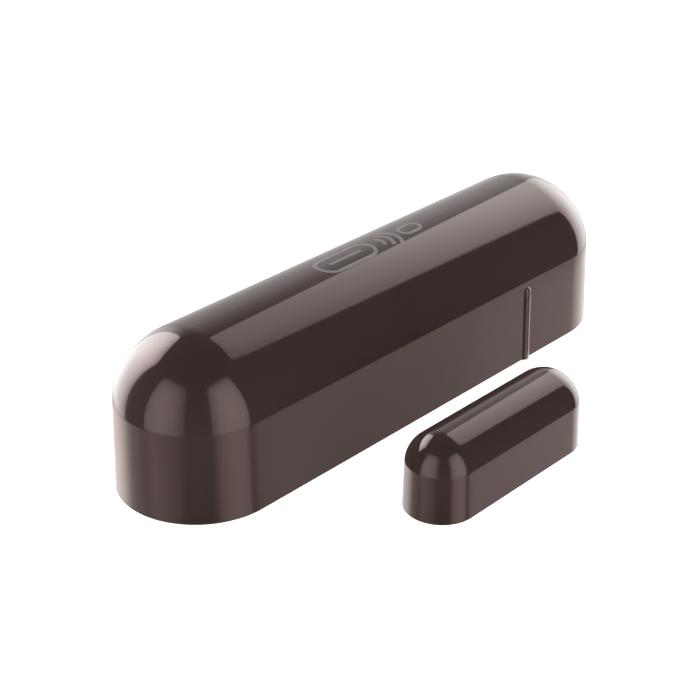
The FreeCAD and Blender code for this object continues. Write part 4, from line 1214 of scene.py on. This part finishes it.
# ---------------------------------------------------------------- tamper plunger and reed switch
class SENSOR_OT_turned_parts(bpy.types.Operator):
    """Turn the tamper plunger and draw the reed switch's glass"""
    bl_idname = "contact_sensor.turned_parts"
    bl_label = "Plunger and reed glass"

    def execute(self, context):
        low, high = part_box("tamper_plunger")
        middle = centre_of("tamper_plunger")
        flange = high.z - 1.1 * MM
        above = flange + 0.5 * MM
        stem, rim, tip = 1.5 * MM, 2.2 * MM, 0.9 * MM
        profile = rounded_corner([
            (0.0, 0.0), (stem, 0.0), (stem, flange), (rim, flange), (rim, above), (tip, above), (tip, high.z),
            (0.0, high.z)], {1: 0.45 * MM, 3: 0.08 * MM, 4: 0.08 * MM, 6: 0.12 * MM}, 5)
        lathed("tamper_pin", profile, upright(middle.x, middle.y, low.z), 64, plunger_plastic(), "plunger",
               "plunger_plastic", "tamper_plunger")
        low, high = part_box("reed_glass")
        place = lying(low.x, centre_of("reed_moving_blade").y, (low.z + high.z) / 2)
        length, outer, bore, seal, lead = high.x - low.x, 1.1 * MM, 0.75 * MM, 1.2 * MM, 0.27 * MM
        profile = rounded_corner([
            (lead, 0.0), (outer, 0.0), (outer, length), (lead, length), (lead, length - seal),
            (bore, length - seal), (bore, seal), (lead, seal)],
            {1: 0.75 * MM, 2: 0.75 * MM, 5: 0.3 * MM, 6: 0.3 * MM}, 8)
        lathed("reed_glass_tube", profile, place, 64, reed_glass(), PLATE, "reed_glass", "reed_glass")
        return {"FINISHED"}


# ---------------------------------------------------------------- board details
class SENSOR_OT_chips(bpy.types.Operator):
    """Build the small board parts with their tinned ends, and the status light"""
    bl_idname = "contact_sensor.chips"
    bl_label = "Small board parts"

    def execute(self, context):
        gap, inset, overlap = 0.4 * MM, 0.02 * MM, 0.03 * MM    # overlap is the tinned end's over the body
        for name, node, slot, item in (
                ("ceramic_chip_pair", "ceramic_capacitors", "ceramic", ceramic()),
                ("resistor_chip_pair", "chip_resistors", "resistor_black", resistor_black())):
            low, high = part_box(node)
            wide = (high.y - low.y - gap) / 2
            end = (high.x - low.x) * 0.2
            bm = bmesh.new()
            for y0 in (low.y, low.y + wide + gap):
                y1 = y0 + wide
                block(bm, (low.x + end, high.x - end), (y0 + inset, y1 - inset), (low.z + inset, high.z - inset),
                      soften=0.02 * MM)
                for x in ((low.x, low.x + end + overlap), (high.x - end - overlap, high.x)):
                    block(bm, x, (y0, y1), (low.z, high.z), 1, 0.06 * MM)
            finished(from_bmesh(name, bm, item, solder(), sharp=40), PLATE, slot, node)
        low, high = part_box("status_led_body")
        bm = bmesh.new()
        end = (high.x - low.x) * 0.16
        block(bm, (low.x + end * 0.6, high.x - end * 0.6), (low.y, high.y), (low.z, high.z), soften=0.05 * MM)
        for x in ((low.x, low.x + end), (high.x - end, high.x)):
            block(bm, x, (low.y + 0.1 * MM, high.y - 0.1 * MM), (low.z, low.z + 0.32 * MM), 1, 0.03 * MM)
        finished(from_bmesh("status_light_body", bm, led_white(), solder(), sharp=40), PLATE, "led_white",
                 "status_led_body")
        low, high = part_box("status_led_lens")
        middle = centre_of("status_led_lens")
        radius = high.z - low.z
        dome = [(0.0, 0.0)] + arc(radius, 0.0, 9 * pi / 20, 9) + [(0.0, radius)]
        lathed("status_light_lens", dome, upright(middle.x, middle.y, low.z), 40, led_lens(), PLATE, "led_lens",
               "status_led_lens", sharp=50)
        low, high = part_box("tantalum_capacitor")
        middle = centre_of("tantalum_capacitor").x
        bm = bmesh.new()
        block(bm, (low.x, high.x), (low.y + 0.12 * MM, high.y - 0.12 * MM), (low.z + 0.1 * MM, high.z),
              soften=0.16 * MM)
        for y in ((low.y, low.y + 0.3 * MM), (high.y - 0.3 * MM, high.y)):
            block(bm, (middle - 0.8 * MM, middle + 0.8 * MM), y, (low.z, low.z + 0.9 * MM), 1, 0.04 * MM)
        finished(from_bmesh("tantalum_body", bm, tantalum_resin(), solder(), sharp=40), PLATE, "tantalum_resin",
                 "tantalum_capacitor")
        return {"FINISHED"}


class SENSOR_OT_solder(bpy.types.Operator):
    """Lay solder fillets round the leads and along the radio module's edges"""
    bl_idname = "contact_sensor.solder"
    bl_label = "Solder joints"

    def execute(self, context):
        foot, sunk, lip, wide, tall = 0.62 * MM, -0.02 * MM, 0.01 * MM, 0.32 * MM, 0.42 * MM
        profile = [(0.0, sunk), (foot, sunk), (foot, lip)]
        profile += [(foot - wide * sin(a * pi / 16), lip + tall * (1 - cos(a * pi / 16))) for a in range(1, 9)]
        profile.append((0.0, 0.45 * MM))
        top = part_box("main_board")[1].z
        y = centre_of("reed_moving_blade").y
        aerial_low, aerial_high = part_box("antenna_coil")
        places = [(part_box("reed_lead")[0].x + 0.25 * MM, y, top),
                  (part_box("reed_fixed_blade")[1].x - 0.25 * MM, y, top),
                  (aerial_high.x - 0.4 * MM, aerial_low.y + 0.4 * MM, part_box("radio_module_board")[1].z)]
        copied("lead_solder", turned_shape("solder cone", profile, 20), places, solder(), "tin_plate", sharp=None)
        low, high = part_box("radio_module_board")
        bm = bmesh.new()
        block(bm, (-0.28 * MM, 0.28 * MM), (-0.12 * MM, 0.14 * MM), (0.0, 0.5 * MM), soften=0.1 * MM, segments=3)
        places = [(low.x + 1.4 * MM + 1.27 * MM * k, y, top) for y in (low.y, high.y) for k in range(9)]
        copied("module_edge_solder", shape_only("edge pad", bm), places, solder(), "tin_plate", sharp=50)
        return {"FINISHED"}


class SENSOR_OT_moulded(bpy.types.Operator):
    """Round the hard edges of the moulded, stamped and cut pieces and give them their finishes"""
    bl_idname = "contact_sensor.moulded"
    bl_label = "Moulded and stamped pieces"

    def execute(self, context):
        soft = settings().detail.soft_edge
        for node, body, slot, item, width in (
                ("sensor_base", PLATE, "base_plastic", base_plastic(), soft / 2),
                ("magnet_base", MAGNET_PLATE, "base_plastic", base_plastic(), soft / 2),
                ("sensor_adhesive_pad", PLATE, "adhesive_foam", adhesive_foam(), soft / 2),
                ("magnet_adhesive_pad", MAGNET_PLATE, "adhesive_foam", adhesive_foam(), soft / 2),
                ("main_board", PLATE, "circuit_board", circuit_board(), soft / 4),
                ("radio_module_board", PLATE, "circuit_board", circuit_board(), soft / 4),
                ("cell_holder", PLATE, "holder_plastic", holder_plastic(), soft),
                ("negative_contact", PLATE, "contact_nickel", contact_nickel(), soft / 4),
                ("positive_contact", PLATE, "contact_nickel", contact_nickel(), soft / 4),
                ("tamper_switch_body", PLATE, "switch_plastic", switch_plastic(), soft / 2),
                ("terminal_block", PLATE, "terminal_plastic", terminal_plastic(), soft / 2),
                ("terminal_clamps", PLATE, "terminal_brass", terminal_brass(), soft / 4),
                ("radio_shield_can", PLATE, "tin_plate", tin_plate(), 0.0),
                ("radio_crystal", PLATE, "contact_nickel", contact_nickel(), soft / 2),
                ("reed_fixed_blade", PLATE, "reed_metal", reed_metal(), 0.0),
                ("reed_lead", PLATE, "reed_metal", reed_metal(), 0.0),
                ("reed_moving_blade", "reed_blade", "reed_metal", reed_metal(), soft / 6),
                ("bar_magnet", MAGNET_PLATE, "magnet_metal", magnet_metal(), 0.0)):
            softened(node, body, slot, item, width)
        frame["nodes"]["cell_core"].material_slots[0].material = cell_electrode()
        return {"FINISHED"}


# ---------------------------------------------------------------- studio
BOX_LEVEL = [      # softbox brightness round the object, by azimuth in degrees from +Y towards +X
    (-180, 2.8), (-171, 2.6), (-163, 2.05), (-156, 1.1), (-135, 0.0), (-118, 0.6), (-108, 1.5), (-97, 2.2),
    (-85, 2.5), (-75, 2.25), (-66, 1.6), (-61, 1.0), (-45, 0.0), (-33, 2.9), (-26, 4.9), (-16, 7.6), (-6, 8.3),
    (4, 8.2), (13, 7.2), (22, 5.8), (28, 4.6), (45, 0.9), (60, 3.1), (68, 4.0), (78, 5.0), (88, 5.4), (100, 4.7),
    (110, 3.4), (118, 2.1), (135, 0.0), (152, 0.0), (156, 1.7), (161, 2.3), (168, 2.65), (180, 2.8)]
LOW_LEVEL = [      # the same below the boxes, where the floor gives them back
    (-180, 1.7), (-165, 1.1), (-156, 0.2), (-150, 0.0), (-120, 0.0), (-105, 0.5), (-90, 0.82), (-75, 1.05),
    (-60, 0.65), (-48, 0.85), (-36, 1.15), (-24, 2.2), (-12, 2.75), (0, 2.5), (12, 1.8), (24, 1.3), (45, 0.9),
    (60, 0.9), (75, 1.75), (90, 2.3), (102, 2.4), (114, 2.2), (120, 1.85), (124, 1.35), (128, 1.0), (135, 0.8),
    (142, 0.58), (150, 0.42), (156, 1.2), (168, 1.7), (180, 1.7)]
SIDE_GLOW = [      # light that leaks past the sides of the back boxes
    (-180, 0.0), (-42, 0.0), (-36, 0.1), (-30, 0.45), (-24, 1.1), (20, 1.8), (29, 1.8), (32, 1.2), (36, 0.84),
    (42, 0.82), (48, 0.94), (54, 1.1), (60, 1.5), (66, 1.3), (72, 0.0), (180, 0.0)]
BACK_FADE = [      # the back box's brightness by elevation in degrees
    (-30, 0.40), (-22, 0.42), (-15, 0.48), (-5, 0.60), (5, 0.70), (15, 0.86), (24, 0.97), (31, 1.0), (37, 0.98),
    (42, 0.88), (45, 0.73), (47, 0.62), (49, 0.56), (51, 0.44), (60, 0.36)]
RIGHT_FADE = [     # the right box's
    (-30, 0.38), (-22, 0.42), (-16, 0.53), (-8, 0.65), (0, 0.78), (10, 0.93), (20, 1.0), (29, 1.0), (33, 0.93),
    (37, 0.83), (42, 0.66), (45, 0.53), (48, 0.43), (52, 0.35), (60, 0.33)]
FRONT_FADE = [     # the two front boxes'
    (-30, 0.70), (-22, 0.76), (-16, 0.80), (-8, 0.88), (0, 0.95), (10, 1.0), (20, 1.0), (28, 0.97), (35, 0.93),
    (40, 0.85), (44, 0.70), (47, 0.54), (51, 0.38), (60, 0.30)]
LEVEL_TOP = 12.0
HIGH, LOW = 51.6, -22.0        # the boxes' top and bottom edges, in degrees above the horizon
RIGHT_HIGH = 53.6              # the right box's top edge
HALF_WIDE = 27.7               # half of each box's width, in degrees
BOX_CORNER = 5.0
BOX_SOFT = 1.5
BOX_TURN = 1.5                 # how far the boxes stand round from square to the object, in degrees
BACK_BOW, BOW = 0.008, 0.005   # how the top edges fall away from the middle, in degrees per degree squared
LEAN = 0.3                     # how the right box's brightness leans over, in degrees round per degree down
LEAN_BELOW = 20.0              # and it leans only below this elevation
FLOOR_LINE = (-21.3, -24.0)    # elevations over which the floor's glow comes in
TINT_LINE = (-21.0, -25.0)     # the same for its tint
GLOW_LINE = (46.0, 22.0)       # the same for the light beside the back boxes
FADE_SPAN = (-30, 60)          # elevations that the fade curves cover
FLOOR_TINT = (1.0, 0.89, 0.85, 1.0)
WHITE = (1, 1, 1, 1)


def as_share(points, low, high, top=1.0):
    """Points of a curve over degrees, as shares of low..high and of top."""
    return [((degrees - low) / (high - low), level / top) for degrees, level in points]


def softbox_world(strength):
    """Four tall softboxes round the object, their glow in the floor, and a white ground for the camera."""
    world = bpy.data.worlds.new("studio")
    bpy.context.scene.world = world
    world.use_nodes = True
    world.node_tree.nodes.clear()
    nodes = Nodes(world.node_tree)
    x, y, z = nodes.split(nodes.field("ShaderNodeTexCoord", output="Generated"))
    azimuth = nodes.math("ARCTAN2", x, y) / (pi / 180)
    elevation = nodes.math("ARCSINE", z) / (pi / 180)
    share = (azimuth + 180.0) / 360.0

    def around(value, levels):
        return nodes.curve(value, as_share(levels, -180, 180, LEVEL_TOP))

    # each box's outline: degrees away from its middle, and from its top and bottom edges, with round corners
    to_right, is_back = x > abs(y), y > abs(x)
    off = abs(nodes.math("MODULO", azimuth + (405.0 + BOX_TURN), 90.0) - 45.0)
    top = to_right * (RIGHT_HIGH - HIGH) + HIGH - off * off * (is_back * (BACK_BOW - BOW) + BOW)
    side = off - (HALF_WIDE - BOX_CORNER)
    above = nodes.most(elevation - top, LOW - elevation) + BOX_CORNER
    far = nodes.length(nodes.combine(nodes.most(side, 0.0), nodes.most(above, 0.0)))
    near = nodes.least(nodes.most(side, above), 0.0)
    mask = nodes.ramp(far + near - BOX_CORNER, -BOX_SOFT, BOX_SOFT, 1.0, 0.0)

    # each box's brightness: round the object, and up the box
    lean = to_right * nodes.most(LEAN_BELOW - elevation, 0.0)
    upper = around(share - lean * (LEAN / 360.0), BOX_LEVEL)
    rise = (elevation - FADE_SPAN[0]) / (FADE_SPAN[1] - FADE_SPAN[0])
    back, front, right = (nodes.curve(rise, as_share(fade, *FADE_SPAN))
                          for fade in (BACK_FADE, FRONT_FADE, RIGHT_FADE))
    back = (right - back) * to_right + back
    fade = (back - front) * nodes.ramp(x + y, -0.1, 0.1) + front

    below = around(share, LOW_LEVEL) * nodes.ramp(elevation, *FLOOR_LINE)
    glow = around(share, SIDE_GLOW) * nodes.ramp(elevation, *GLOW_LINE, smooth=False)
    level = nodes.most(nodes.most(upper * mask * fade, below), glow) * (LEVEL_TOP * strength)
    tint = nodes.mix(nodes.ramp(elevation, *TINT_LINE), WHITE, FLOOR_TINT)
    seen = nodes.field("ShaderNodeLightPath", output="Is Camera Ray")
    boxes = nodes.field("ShaderNodeBackground", {"Color": tint, "Strength": level})
    ground = nodes.field("ShaderNodeBackground", {"Color": WHITE, "Strength": 1.1})
    nodes.add("ShaderNodeOutputWorld",
              {"Surface": nodes.field("ShaderNodeMixShader", {0: seen, 1: boxes, 2: ground})})


class SENSOR_OT_studio(bpy.types.Operator):
    """Set up the camera, the pale floor and the softboxes"""
    bl_idname = "contact_sensor.studio"
    bl_label = "Studio"

    def execute(self, context):
        own = settings().studio
        scene = context.scene
        scene.view_settings.view_transform = "Standard"
        camera = bpy.data.objects.new("camera", bpy.data.cameras.new("camera"))
        scene.collection.objects.link(camera)
        camera.data.sensor_width = 36.0
        camera.data.lens = own.lens
        camera.data.clip_start, camera.data.clip_end = 0.01, 20.0
        camera.location = own.place
        look = Vector(own.aim) - Vector(own.place)
        camera.rotation_mode = "QUATERNION"
        camera.rotation_quaternion = look.to_track_quat("-Z", "Y")
        scene.camera = camera
        softbox_world(own.light)
        reach = 3.0    # the floor's half side
        mesh = bpy.data.meshes.new("floor")
        mesh.from_pydata([(-reach, -reach, 0), (reach, -reach, 0), (reach, reach, 0), (-reach, reach, 0)], [],
                         [(0, 1, 2, 3)])
        floor = add_piece("floor", mesh, floor_paper())
        floor.visible_glossy = False
        return {"FINISHED"}


# ---------------------------------------------------------------- add-on
OPERATORS = (
    SENSOR_OT_studio,
    SENSOR_OT_shells,
    SENSOR_OT_rib,
    SENSOR_OT_mark,
    SENSOR_OT_coils,
    SENSOR_OT_fasteners,
    SENSOR_OT_cell,
    SENSOR_OT_turned_parts,
    SENSOR_OT_chips,
    SENSOR_OT_solder,
    SENSOR_OT_moulded,
)


class SENSOR_PT_pieces(bpy.types.Panel):
    """Lists the pieces that can be built"""
    bl_idname = "SENSOR_PT_pieces"
    bl_label = "Contact Sensor"
    bl_space_type = "VIEW_3D"
    bl_region_type = "UI"
    bl_category = "Contact Sensor"

    def draw(self, context):
        for operator in OPERATORS:
            self.layout.operator(operator.bl_idname, text=operator.bl_label)


CLASSES = (SensorShellSizes, MagnetShellSizes, DetailSizes, Finishes, Studio, ContactSensorSettings,
           *OPERATORS, SENSOR_PT_pieces)


def register():
    for item in CLASSES:
        bpy.utils.register_class(item)
    bpy.types.Scene.contact_sensor = bpy.props.PointerProperty(type=ContactSensorSettings)


def unregister():
    del bpy.types.Scene.contact_sensor
    for item in reversed(CLASSES):
        bpy.utils.unregister_class(item)


def main():
    register()
    for operator in OPERATORS:
        group, name = operator.bl_idname.split(".")
        getattr(getattr(bpy.ops, group), name)()


if __name__ == "__main__":
    main()
